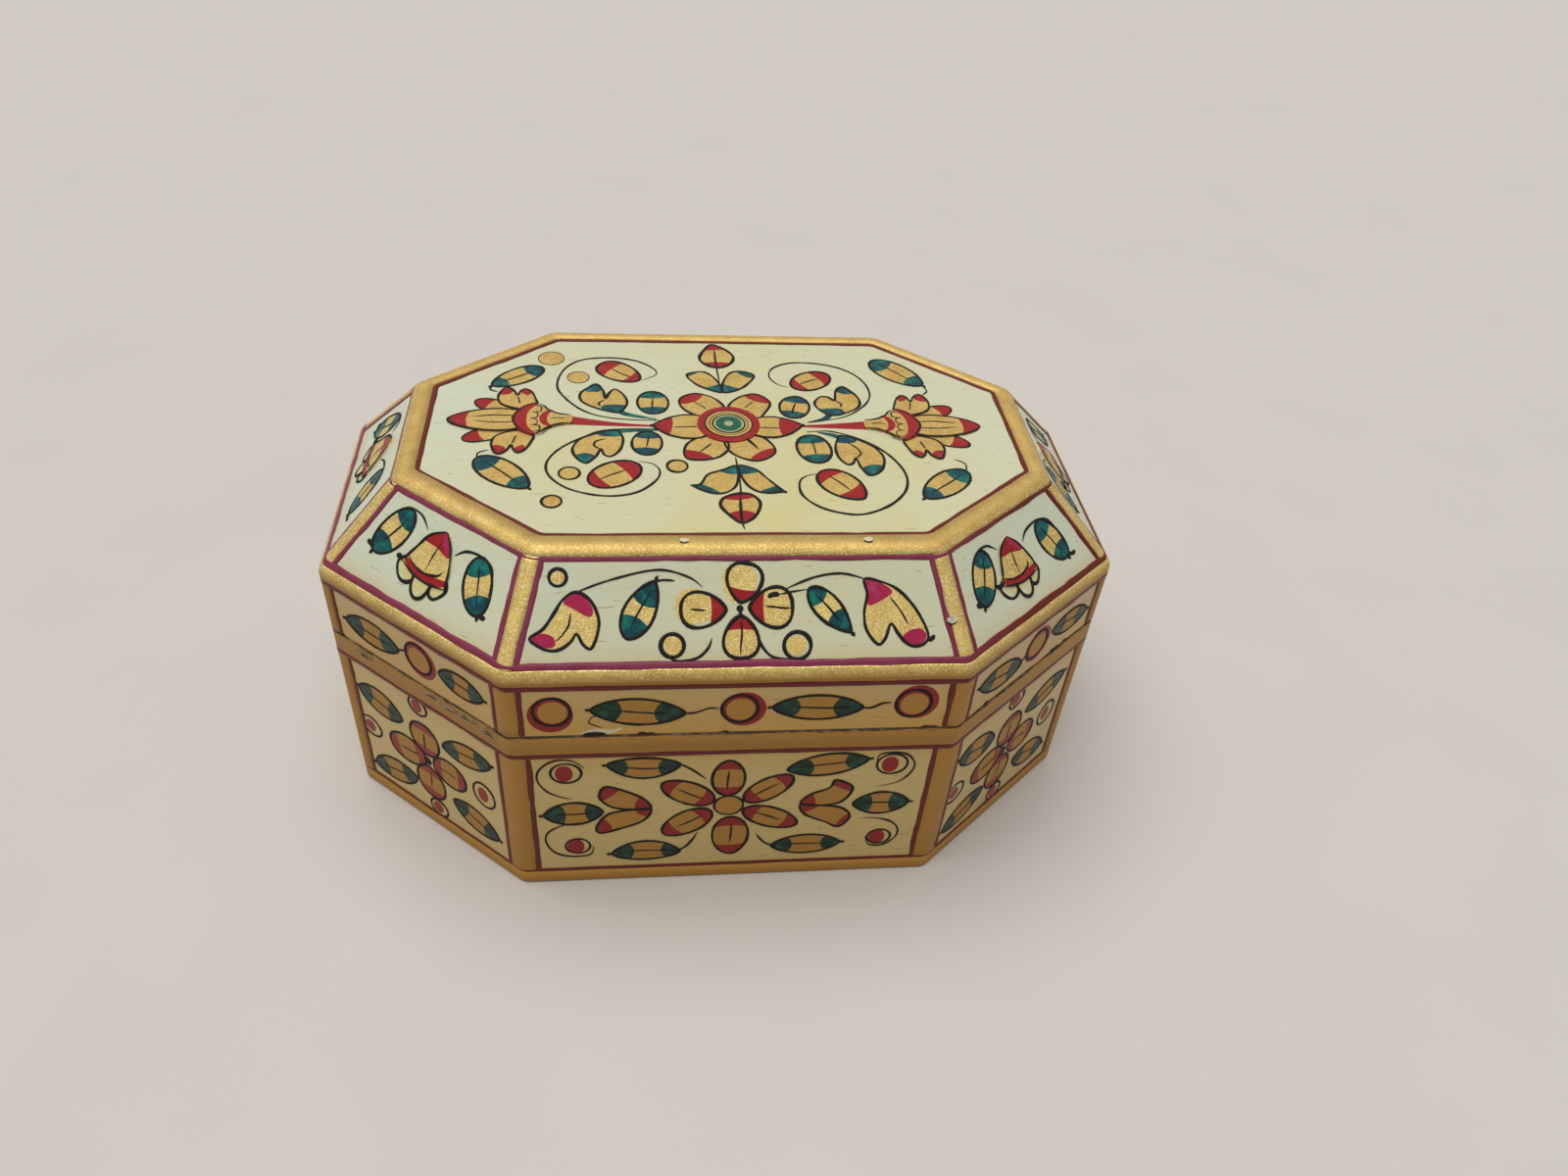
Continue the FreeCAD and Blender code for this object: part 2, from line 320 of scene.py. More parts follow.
def polished_bone(colours, turn):
    """Sawn bone, polished and lacquered: faint streaks run along each plate, the lacquer has
    yellowed in clouds and lower down, and short dark pores show here and there."""
    material, tree, shader = start_material(
        f"polished_bone_{math.degrees(turn):.0f}", {"IOR": 1.54, "Coat Weight": 0.25, "Coat Roughness": 0.18})
    streaks = pattern(tree, 0.7, turn, stretch=16.0)
    clouds = pattern(tree, 24.0, detail=2.0, seed=3.1)
    pores = pattern(tree, 0.32, turn, stretch=7.0, detail=1.0, seed=8.0)
    skirt = by_height(tree, FORM.ridge + 3, FORM.ridge - 2, 0.0, 0.76)
    lower = by_height(tree, FORM.ridge - 2, FORM.seam + 1, 0.0, 0.25)
    base = by_height(tree, FORM.seam + 0.5, FORM.seam - 8, 0.0, 0.5)
    whole_skirt = add(tree, MATH, (skirt, lower), operation="ADD", use_clamp=True)
    browned = add(tree, MATH, (whole_skirt, base), operation="SUBTRACT", use_clamp=True)
    on_top = by_height(tree, FORM.top - 1.5, FORM.top - 0.2, 0.42, 1.0)
    along = object_axis(tree, "X")
    off_middle = add(tree, MATH, (along, along), **TIMES)
    middle = add(tree, RAMP, (off_middle, (12 * MM) ** 2, (34 * MM) ** 2, 1.0, 0.4))
    front = add(tree, RAMP, (object_axis(tree, "Y"), 10 * MM, -16 * MM, 0.6, 1.0))
    handled = add(tree, MATH, (middle, front), **TIMES)
    yellowed = add(tree, MATH, (handled, on_top), **TIMES)
    cloudy = add(tree, MATH, (add(tree, RAMP, (clouds, 0.36, 0.62, 0.5, 1.0)), yellowed), **TIMES)
    on_base = by_height(tree, FORM.seam + 0.5, FORM.seam - 3, 0.0, 0.9)
    strawed = add(tree, MATH, (cloudy, on_base), **GREATER)
    clean = add(tree, MIX, {"Factor_Float": strawed, "A_Color": colours.bone, "B_Color": colours.straw},
                data_type="RGBA")
    plain = add(tree, MIX, {"Factor_Float": browned, "A_Color": clean, "B_Color": colours.amber},
                data_type="RGBA")
    streaked = add(tree, MIX, {"Factor_Float": add(tree, RAMP, (streaks, 0.4, 0.75, 0.0, 0.14)),
                               "A_Color": plain, "B_Color": colours.amber}, data_type="RGBA")
    pored = add(tree, MIX, {"Factor_Float": add(tree, RAMP, (pores, 0.7, 0.76, 0.0, 0.5)),
                            "A_Color": streaked, "B_Color": colours.wood}, data_type="RGBA")
    feed(tree, shader, {
        "Base Color": pored,
        "Roughness": add(tree, RAMP, (streaks, 0.3, 0.7, 0.3, 0.42)),
        "Normal": add(tree, "ShaderNodeBump", {"Height": streaks, "Distance": 0.02 * MM, "Strength": 0.25})})
    return material


def oiled_wood(colours, turn):
    """Close-grained hardwood, sawn and oiled: dark grain lines run along each board."""
    material, tree, shader = start_material(f"oiled_wood_{math.degrees(turn):.0f}", {"IOR": 1.5})
    grain = pattern(tree, 1.1, turn, stretch=14.0, detail=5.0)
    broad = pattern(tree, 6.0, turn, stretch=6.0, seed=5.0)
    figure = add(tree, MATH, (add(tree, RAMP, (grain, 0.35, 0.7, 0.0, 1.0)),
                              add(tree, RAMP, (broad, 0.2, 0.7, 0.4, 1.0))), **TIMES)
    feed(tree, shader, {
        "Base Color": add(tree, MIX, {"Factor_Float": figure, "A_Color": colours.wood,
                                      "B_Color": colours.wood_dark}, data_type="RGBA"),
        "Roughness": add(tree, RAMP, (grain, 0.3, 0.7, 0.48, 0.66)),
        "Normal": add(tree, "ShaderNodeBump", {"Height": grain, "Distance": 0.06 * MM, "Strength": 0.4})})
    return material


def gold_paint(colours):
    """Brushed bronze-powder paint: a satin metal, thin in places, and worn grimy at the seam. It is
    painted palest on the slopes, with bright flakes as painted glints there and fewer on the top, and
    painted browner on the top and more so below the lower ridge as painted shade. The flakes are drawn
    coarser than real powder so that they show."""
    material, tree, shader = start_material("brushed_gold_paint", {"Metallic": 0.4})
    flakes = pattern(tree, 0.22, detail=2.0)
    thin = pattern(tree, 2.4, detail=4.0, seed=2.0)
    scuffs = pattern(tree, 0.5, stretch=3.0, detail=4.0, seed=6.0)
    below = by_height(tree, FORM.seam - 0.9, FORM.seam - 0.1)
    above = by_height(tree, FORM.seam + 1.4, FORM.seam + 0.3)
    near_seam = add(tree, MATH, (below, above), **TIMES)
    worn = add(tree, MATH, (near_seam, add(tree, RAMP, (scuffs, 0.5, 0.66, 0.0, 0.6))), **TIMES)
    raised = by_height(tree, FORM.ridge - 1.1, FORM.ridge + 0.4)
    # Painted glints: flakes on the slopes, fewer on the top and none below the lower ridge
    glint_share = add(tree, MATH, (raised, by_height(tree, FORM.top - 0.1, FORM.top - 0.6, 0.45, 1.0)), **TIMES)
    # Painted shade: the gold turns to bronze below the lower ridge and part way on the top
    unshaded_share = add(tree, MATH, (raised, by_height(tree, FORM.top - 0.1, FORM.top - 0.6, 0.65, 1.0)), **TIMES)
    bright = add(tree, MATH, (add(tree, RAMP, (flakes, 0.48, 0.68, 0.0, 0.85)), glint_share), **TIMES)
    upper = add(tree, MIX, {"Factor_Float": add(tree, RAMP, (thin, 0.35, 0.7, 0.0, 0.7)),
                            "A_Color": colours.gold, "B_Color": colours.gold_shade}, data_type="RGBA")
    coat = add(tree, MIX, {"Factor_Float": unshaded_share, "A_Color": colours.bronze, "B_Color": upper},
               data_type="RGBA")
    sparkle = add(tree, MIX, {"Factor_Float": bright, "A_Color": coat, "B_Color": colours.gold_flake_glint},
                  data_type="RGBA")
    feed(tree, shader, {
        "Base Color": add(tree, MIX, {"Factor_Float": worn, "A_Color": sparkle, "B_Color": colours.grime},
                          data_type="RGBA"),
        "Roughness": add(tree, RAMP, (bright, 0.0, 0.6, 0.54, 0.36)),
        "Normal": add(tree, "ShaderNodeBump", {"Height": flakes, "Distance": 0.05 * MM, "Strength": 0.25})})
    return material


def brush_paint(name, deep, thin, spread=(0.46, 0.68), gloss=0.36, browned=None):
    """Water paint laid on with a small brush under lacquer: it pools dark, dries paler where thin,
    and may have browned with its lacquer on the skirt and base."""
    material, tree, shader = start_material(
        name, {"IOR": 1.48, "Roughness": gloss, "Specular IOR Level": 0.25})
    pools = pattern(tree, 1.3, detail=3.0, seed=len(name))
    dried = add(tree, RAMP, (pools, *spread, 0.0, 1.0))
    paint = add(tree, MIX, {"Factor_Float": dried, "A_Color": deep, "B_Color": thin}, data_type="RGBA")
    if browned is not None:
        low = by_height(tree, FORM.ridge + 0.2, FORM.ridge - 1.0, 0.0, 0.8)
        paint = add(tree, MIX, {"Factor_Float": low, "A_Color": paint, "B_Color": browned}, data_type="RGBA")
    feed(tree, shader, {
        "Base Color": paint,
        "Normal": add(tree, "ShaderNodeBump", {"Height": pools, "Distance": 0.04 * MM, "Strength": 0.3})})
    return material


def ruled_line_paint(colours):
    """Ruled line of the same paint, thinned: magenta on most of the slopes, maroon elsewhere."""
    material, tree, shader = start_material(
        "ruled_line_paint", {"IOR": 1.48, "Roughness": 0.38, "Specular IOR Level": 0.25})
    pools = pattern(tree, 2.2, detail=3.0, seed=4.0)
    lid_slope = by_height(tree, FORM.ridge - 0.4, FORM.ridge + 0.2)
    leftward = add(tree, RAMP, (object_axis(tree, "X"), 36 * MM, 22 * MM, 0.0, 1.0))
    off_top = by_height(tree, FORM.top - 0.1, FORM.top - 0.5)
    left_slope = add(tree, MATH, (lid_slope, leftward), **TIMES)
    amount = add(tree, MATH, (left_slope, off_top), **TIMES)
    broken = add(tree, MATH, (amount, add(tree, RAMP, (pools, 0.3, 0.6, 0.6, 1.0))), **TIMES)
    feed(tree, shader, {
        "Base Color": add(tree, MIX, {"Factor_Float": broken, "A_Color": colours.maroon,
                                      "B_Color": colours.magenta}, data_type="RGBA"),
        "Normal": add(tree, "ShaderNodeBump", {"Height": pools, "Distance": 0.03 * MM, "Strength": 0.2})})
    return material


def paint_materials(colours):
    """One material for each paint of the ornament, by the paint's name."""
    return {
        "gold": gold_paint(colours),
        "red": brush_paint("red_water_paint", colours.red, colours.vermilion, (0.5, 0.8),
                           browned=colours.brick),
        "raspberry": brush_paint("raspberry_water_paint", colours.raspberry, colours.pink, (0.52, 0.85)),
        "teal": brush_paint("teal_water_paint", colours.teal, colours.teal_light),
        "green": brush_paint("green_water_paint", colours.green, colours.green_light),
        "sea": brush_paint("sea_green_water_paint", colours.sea_green, colours.straw, (0.55, 0.9)),
        "jade": brush_paint("jade_water_paint", colours.jade, colours.green_light),
        "cream": brush_paint("cream_water_paint", colours.straw, colours.bone),
        "ink": brush_paint("black_ink", colours.ink, colours.grime, (0.7, 0.98), gloss=0.6),
        # The dark line along the seam is painted shade
        "grime": brush_paint("seam_grime", colours.grime, colours.dust, (0.5, 0.8), gloss=0.8),
        "dust": brush_paint("grey_dust", colours.dust, colours.grime, (0.45, 0.7), gloss=0.8),
        "filler": brush_paint("bare_filler", colours.filler, colours.grime, (0.55, 0.8), gloss=0.7),
    }


# Meshes

def put_mesh(name, body, points, faces, material, smooth_shade=False):
    """Make a closed mesh piece from points in millimetres and let it ride on a body."""
    mesh = bpy.data.meshes.new(name)
    mesh.from_pydata([point * MM for point in points], [], faces)
    shell = bmesh.new()
    shell.from_mesh(mesh)
    bmesh.ops.recalc_face_normals(shell, faces=shell.faces)
    shell.to_mesh(mesh)
    shell.free()
    mesh.materials.append(material)
    for polygon in mesh.polygons:
        polygon.use_smooth = smooth_shade
    put_piece(name, body, mesh)


def put_piece(name, body, mesh):
    """Link a mesh as a piece that rides on a body."""
    if not mesh.polygons:
        raise RuntimeError(f"{name} has no faces")
    piece = bpy.data.objects.new(name, mesh)
    bpy.context.scene.collection.objects.link(piece)
    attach(piece, body)


class Film:
    """Points and faces of one coat of paint, gathered mark by mark."""

    def __init__(self):
        self.points = []
        self.faces = []

    def add_sheet(self, upper, lower, closed):
        """Close the space between two grids of points; a closed grid's last row meets its first."""
        rows = len(upper)
        columns = len(upper[0])
        first = len(self.points)
        under = rows * columns
        for grid in (upper, lower):
            self.points += [point for row in grid for point in row]
        for row in range(rows if closed else rows - 1):
            a = first + row * columns
            b = first + (row + 1) % rows * columns
            for column in range(columns - 1):
                quad = (a + column, a + column + 1, b + column + 1, b + column)
                self.faces += [quad, tuple(corner + under for corner in reversed(quad))]
            for corner_a, corner_b in ((a, b), (b + columns - 1, a + columns - 1)):
                self.faces.append((corner_a, corner_b, corner_b + under, corner_a + under))
        if not closed:
            last = first + (rows - 1) * columns
            for column in range(columns - 1):
                a = first + column
                b = last + column
                self.faces += [(a + 1, a, a + under, a + 1 + under), (b, b + 1, b + 1 + under, b + under)]

    def add_plate(self, upper, lower):
        """Close the space between two outlines."""
        count = len(upper)
        first = len(self.points)
        self.points += list(upper) + list(lower)
        self.faces.append(tuple(range(first, first + count)))
        self.faces.append(tuple(reversed(range(first + count, first + 2 * count))))
        for index in range(count):
            after = (index + 1) % count
            self.faces.append((first + index, first + index + count, first + after + count, first + after))


# Gilding

CORNER_CUT = 0.95
POST_SHARE = 0.8
UNDER_LINE = 0.08
CORNER_STEPS = 4
SECTION_STEPS = 6
RUN_STEPS = 22
HIP_STEPS = 14
SKIRT_POST_STEPS = 10
BASE_POST_STEPS = 18
HIP_START = 0.4
HIP_SHORT = 0.7
POST_LAP = 0.6
SEAM_TUCK = 0.5
FOOT_TUCK = 0.6
SEAM_TRIM = 2
FOOT_TRIM = 3
CORNER_STRIDE = 9.0
WANDER_STEP = 5.0


def waver(place, seed):
    """A smooth stray between -1 and 1, for a place in millimetres."""
    return noise.noise(Vector((place[0] / WANDER_STEP, place[1] / WANDER_STEP, seed)))


def eased(before, corner, after, radius, steps=CORNER_STEPS):
    """Points of an arc that rounds a corner off."""
    back = (before - corner).normalized()
    ahead = (after - corner).normalized()
    half = back.angle(ahead) / 2
    reach = radius / math.tan(half)
    centre = corner + (back + ahead).normalized() * (radius / math.sin(half))
    start = corner + back * reach - centre
    end = corner + ahead * reach - centre
    sweep = start.angle(end)
    turns = [sweep * i / steps for i in range(steps + 1)]
    return [centre + (start * math.sin(sweep - turn) + end * math.sin(turn)) / math.sin(sweep)
            for turn in turns]


def corner_radii(cut):
    """The radius at each corner of the box whose arc cuts inside the corner by a length."""
    long_corner, end_corner = (cut / (1 / math.cos(turn / 2) - 1) for turn in (TURN, math.pi / 2 - TURN))
    return (long_corner, long_corner, end_corner, end_corner) * 2


def ring(inset, height, radii):
    """Points round the box at an inset and a height, with its corners eased."""
    corners = octagon(inset, height)
    arcs = [eased(corners[k - 1], corners[k], corners[(k + 1) % SIDE_COUNT], radii[k])
            for k in range(SIDE_COUNT)]
    points = []
    for k in range(SIDE_COUNT):
        points += arcs[k]
        start = arcs[k][-1]
        end = arcs[(k + 1) % SIDE_COUNT][0]
        points += [start.lerp(end, i / RUN_STEPS) for i in range(1, RUN_STEPS)]
    return points


def section(points, radius):
    """A section line in (inset, height), its inner corners rounded, as 2-D points."""
    flat = [Vector((inset, height, 0)) for inset, height in points]
    line = [flat[0]]
    for before, corner, after in zip(flat, flat[1:], flat[2:]):
        line += eased(before, corner, after, radius, SECTION_STEPS)
    line.append(flat[-1])
    return line


def outward(line):
    """The outward normals along a section line that climbs the box."""
    normals = []
    for index in range(len(line)):
        step = line[min(index + 1, len(line) - 1)] - line[max(index - 1, 0)]
        normals.append(Vector((-step.y, step.x, 0)).normalized())
    return normals


def add_band(film, line, gilding, strays, seed):
    """A gold band round the box along a section line; its two edges stray where asked."""
    thick = gilding.film / MM
    stray = gilding.wander / MM
    radii = corner_radii(thick * CORNER_CUT)
    normals = outward(line)
    grids = []
    for lift in (thick, -thick):
        columns = []
        for index, (point, normal) in enumerate(zip(line, normals)):
            place = point + normal * lift
            points = ring(place.x, place.y, radii)
            end = {0: 0, len(line) - 1: 1}.get(index)
            if end is not None and strays[end]:
                step = Vector((normal.y, -normal.x, 0))
                moved = ring(place.x + step.x, place.y + step.y, radii)
                points = [p + (q - p) * stray * waver(p, seed + end) for p, q in zip(points, moved)]
            columns.append(points)
        grids.append([list(row) for row in zip(*columns)])
    film.add_sheet(grids[0], grids[1], closed=True)


def add_corner_strip(film, corner, stations, normal, half_width, gilding, seed):
    """A gold strip along one corner of the box, through stations of (inset, height)."""
    thick = gilding.film / MM * POST_SHARE
    stray = gilding.wander / MM
    radius = corner_radii(thick * CORNER_CUT)[corner]
    grids = []
    for lift in (thick, -thick):
        rows = []
        for inset, height in stations:
            corners = octagon(inset + normal[0] * lift, height + normal[1] * lift)
            tip = corners[corner]
            back = (corners[corner - 1] - tip).normalized()
            ahead = (corners[(corner + 1) % SIDE_COUNT] - tip).normalized()
            place = (height, corner * CORNER_STRIDE)
            left = half_width + stray * waver(place, seed)
            right = half_width + stray * waver(place, seed + 3)
            arc = eased(tip + back, tip, tip + ahead, radius)
            rows.append([tip + back * left, *arc, tip + ahead * right])
        grids.append(rows)
    film.add_sheet(grids[0], grids[1], closed=False)


def steps_between(low, high, count):
    """Evenly spaced values from low to high."""
    return [low + (high - low) * i / (count - 1) for i in range(count)]


def on_slope(v):
    """Inset and height of a place on the slopes, by its distance up from the lower ridge."""
    return FORM.slope_run * v / SLANT, FORM.ridge + FORM.slope_rise * v / SLANT


SLOPE_NORMAL = (-FORM.slope_rise / SLANT, FORM.slope_run / SLANT)
WALL_NORMAL = (-1.0, 0.0)
TOP_NORMAL = (0.0, 1.0)


def gild_lid(gilding):
    """Gold over both ridges of the lid, its hips and the corners of its skirt."""
    film = Film()
    ridge_low = FORM.ridge - gilding.ridge_band / MM
    lower = section([(0, ridge_low - UNDER_LINE), (0, FORM.ridge),
                     on_slope(gilding.slope_foot / MM + UNDER_LINE)], RIDGE_ROUND)
    upper = section([on_slope(SLANT - gilding.slope_band / MM - UNDER_LINE), (FORM.slope_run, FORM.top),
                     (FORM.slope_run + gilding.top_band / MM + UNDER_LINE, FORM.top)], RIDGE_ROUND)
    add_band(film, lower, gilding, (True, True), seed=1.0)
    add_band(film, upper, gilding, (True, True), seed=5.0)
    hip = [on_slope(v) for v in steps_between(HIP_START, SLANT - HIP_SHORT, HIP_STEPS)]
    post = [(0.0, z) for z in steps_between(FORM.seam + SEAM_ROUND, ridge_low + POST_LAP, SKIRT_POST_STEPS)]
    for corner in range(SIDE_COUNT):
        add_corner_strip(film, corner, hip, SLOPE_NORMAL, gilding.hip_band / MM, gilding, seed=9.0)
        add_corner_strip(film, corner, post, WALL_NORMAL, gilding.skirt_post / MM, gilding, seed=17.0)
    return film


def gild_base(gilding):
    """Gold along the top and foot of the base, and up its corners."""
    film = Film()
    seam_low = FORM.seam - gilding.seam_band / MM - UNDER_LINE
    foot_high = gilding.foot_band / MM + UNDER_LINE
    # The points left off would put paint under the lid and under the foot
    seam = section([(0, seam_low), (0, FORM.seam), (SEAM_TUCK, FORM.seam)], SEAM_ROUND)[:-SEAM_TRIM]
    foot = section([(FOOT_TUCK, 0), (0, 0), (0, foot_high)], FOOT_ROUND)[FOOT_TRIM:]
    add_band(film, seam, gilding, (True, False), seed=21.0)
    add_band(film, foot, gilding, (False, True), seed=25.0)
    post = [(0.0, z) for z in steps_between(foot_high - POST_LAP, seam_low + POST_LAP, BASE_POST_STEPS)]
    for corner in range(SIDE_COUNT):
        add_corner_strip(film, corner, post, WALL_NORMAL, gilding.base_post / MM, gilding, seed=29.0)
    return film


# Brush marks

CURVE_STEPS = 6
CIRCLE_POINTS = 22
BOW_STEPS = (0.2, 0.4, 0.6, 0.8)
HAIR = 0.0006
HAIR_COUNT = 16
SINK = 0.02
INK_RELIEF = 0.28
PRESS = 0.45
PRESS_RATE = 3
TAPER_RUN = 3.5
PETAL_STEPS = 12
DIP_STEPS = 9
VEIN_STEPS = 7
VEIN_WIDTH = 0.65
VEIN_SWAY = 0.06
VEIN_WAVE = 5
FLICK_REACH = 0.7
FLICK_WIDTH = 1.5


def smooth(points, closed=False):
    """Points of a smooth curve through the given ones."""
    knots = [Vector(point) for point in points]
    count = len(knots)
    curve = []
    for i in range(count if closed else count - 1):
        near = [i + j if closed else min(max(i + j, 0), count - 1) for j in (-1, 0, 1, 2)]
        a, b, c, d = (knots[j % count] for j in near)
        for step in range(CURVE_STEPS):
            s = step / CURVE_STEPS
            curve.append((2 * b + (c - a) * s + (2 * a - 5 * b + 4 * c - d) * s ** 2
                          + (3 * b - a - 3 * c + d) * s ** 3) / 2)
    if not closed:
        curve.append(knots[-1])
    return curve


def oval(centre, radius, aspect):
    """Points round a circle that is drawn out upwards by its aspect."""
    turns = [2 * math.pi * i / CIRCLE_POINTS for i in range(CIRCLE_POINTS)]
    return [(centre[0] + radius * math.cos(a), centre[1] + radius * aspect * math.sin(a)) for a in turns]


Stroke = namedtuple("Stroke", "points half_widths facings closed")


class Marks:
    """All the marks on one body: filled shapes and strokes, by paint."""

    def __init__(self):
        self.films = defaultdict(Film)
        self.strokes = defaultdict(list)


class Hand:
    """A hand that paints on one panel and keeps its marks with those of the body."""

    def __init__(self, panel, marks, brush, drift=0.0, seed=0.0):
        self.panel = panel
        self.marks = marks
        self.brush = brush
        self.drift = drift
        self.seed = seed
        self.count = 0
        self.layer = 0

    def lift(self, coat):
        """Height above the panel of a coat in the layer being painted."""
        brush = self.brush
        return (brush.coat + coat * brush.step + self.layer * brush.layer) / MM

    def strayed(self, point):
        """A place on the panel, moved a little where the hand strays from the pattern."""
        u, v = point
        return u + self.drift * waver((u, v), self.seed), v + self.drift * waver((u, v), self.seed + 7)

    def fill(self, paint, outline, coat=0):
        """Fill an outline with paint, as the first coat or a later one."""
        self.count += 1
        lift = self.lift(coat) + HAIR * (self.count % HAIR_COUNT)
        places = [self.strayed(point) for point in outline]
        self.marks.films[paint].add_plate([self.panel.at(u, v, lift) for u, v in places],
                                          [self.panel.at(u, v, -SINK) for u, v in places])

    def patch(self, paint, points, coat=1):
        """Fill a smooth closed shape, with no outline."""
        self.fill(paint, smooth(points, closed=True), coat)

    def line(self, points, width, paint="ink", closed=False, tapers=(0.35, 0.15)):
        """Draw a stroke whose width is a share of the ink line, thinner at its ends."""
        self.count += 1
        places = [self.strayed(point) for point in points]
        middle = self.brush.ink / MM / 2 * width
        last = len(places) - 1
        half_widths = []
        for index, place in enumerate(places):
            press = 1.0 + PRESS * waver((PRESS_RATE * place[0], PRESS_RATE * place[1]), self.count)
            if not closed:
                start = min(1.0, tapers[0] + TAPER_RUN * index / last)
                end = min(1.0, tapers[1] + TAPER_RUN * (last - index) / last)
                press *= min(start, end)
            half_widths.append(middle * press)
        track = [self.panel.at(u, v, self.lift(2)) for u, v in places]
        self.marks.strokes[paint].append(Stroke(track, half_widths, [self.panel.facing] * len(track), closed))

    def curve(self, points, width=1.0):
        """Draw a smooth stroke through a few points."""
        self.line(smooth(points), width)

    def disc(self, paint, centre, radius, coat=0, aspect=1.0):
        """Fill a round spot."""
        self.fill(paint, oval(centre, radius, aspect), coat)

    def hoop(self, centre, radius, width, aspect=1.0):
        """Draw a ring with the brush."""
        self.line(oval(centre, radius, aspect), width, closed=True)

    def ribbon(self, paint, points, widths, coat=0):
        """Fill a tapering ribbon along a path."""
        path = smooth(points)
        breadth = smooth([(width, 0.0) for width in widths])
        sides = ([], [])
        for index, point in enumerate(path):
            step = path[min(index + 1, len(path) - 1)] - path[max(index - 1, 0)]
            aside = Vector((-step.y, step.x)).normalized() * (breadth[index].x / 2)
            sides[0].append(point + aside)
            sides[1].append(point - aside)
        self.fill(paint, sides[0] + sides[1][::-1], coat)

    def petal(self, base, tip, half_width, ends, shares, form, bend=0.0, vein=(0.18, 0.72), slip=(0.0, 0.0),
              outline=1.0, bow=-0.04):
        """Paint a gold petal with coloured ends, a vein and a dark outline drawn a little off it."""
        base = Vector(base)
        along = Vector(tip) - base
        aside = Vector((-along.y, along.x)).normalized()
        peak = form[0] / (form[0] + form[1])
        crest = peak ** form[0] * (1 - peak) ** form[1]

        def place(s, side):
            width = half_width * s ** form[0] * (1 - s) ** form[1] / crest
            return base + along * s + aside * (side * width + 4 * bend * s * (1 - s))

        def stretch(start, end, count=DIP_STEPS):
            turns = [math.pi * i / count for i in range(count + 1)]
            steps = [start + (end - start) * (1 - math.cos(turn)) / 2 for turn in turns]
            return [place(s, 1) for s in steps], [place(s, -1) for s in reversed(steps)]

        def bowed(start, end, amount):
            return [start.lerp(end, t) + along * (4 * amount * t * (1 - t)) for t in BOW_STEPS]

        up, down = stretch(0.0, 1.0, PETAL_STEPS)
        loop = up[:-1] + down[:-1]
        off = Vector(slip)
        self.fill("gold", [point + off for point in loop])
        if ends[0]:
            up, down = stretch(0.0, shares[0])
            self.fill(ends[0], up + bowed(up[-1], down[0], bow) + down[:-1], coat=1)
        if ends[1]:
            up, down = stretch(1.0 - shares[1], 1.0)
            self.fill(ends[1], up + down[1:] + bowed(down[-1], up[0], -bow), coat=1)
        self.line(loop, outline, closed=True)
        if vein:
            steps = steps_between(vein[0], vein[1], VEIN_STEPS)
            self.line([place(s, VEIN_SWAY * math.sin(VEIN_WAVE * s)) for s in steps], VEIN_WIDTH)

    def shape(self, points, paint="gold", outline=1.0, slip=(0.0, 0.0)):
        """Fill a smooth closed shape and draw its outline."""
        loop = smooth(points, closed=True)
        self.fill(paint, [point + Vector(slip) for point in loop])
        self.line(loop, outline, closed=True)


LEAF = (0.72, 0.72)
BUD = (0.5, 0.62)
ROUND = (0.5, 0.5)
FULL = (0.55, 0.38)
SLIM = (0.6, 0.82)


def leaf(hand, base, tip, half_width, paint, shares, bend=0.0, form=LEAF):
    """A gold leaf with both ends dipped in one colour, a long vein and a flick at its tip."""
    hand.petal(base, tip, half_width, (paint, paint), shares, form, bend, vein=(0.14, 0.84), bow=0.07)
    beyond = Vector(tip) + (Vector(tip) - Vector(base)).normalized() * FLICK_REACH
    hand.line([tip, (Vector(tip) + beyond) / 2, beyond], FLICK_WIDTH)


def bud(hand, base, tip, half_width, form, shares=(0.26, 0.34)):
    """A gold bud, red at both ends."""
    hand.petal(base, tip, half_width, ("red", "red"), shares, form)


# Ornament of the top

def paint_dipped(hand, points, paint, dips, outline=1.0):
    """A gold form with a dark outline, its edge dipped in a second paint. Each dip runs along the edge
    from one knot to another, counted in knots, and its inner side sags into the form."""
    hand.shape(points, outline=outline)
    loop = smooth(points, closed=True)
    for start, end, sag in dips:
        first = round(start * CURVE_STEPS)
        count = (round(end * CURVE_STEPS) - first) % len(loop)
        edge = [loop[(first + i) % len(loop)] for i in range(count + 1)]
        inward = ((edge[0] + edge[-1]) / 2 - edge[count // 2]).normalized()
        inner = [edge[-1].lerp(edge[0], t) + inward * (4 * sag * t * (1 - t)) for t in BOW_STEPS]
        hand.fill(paint, edge + inner, coat=1)


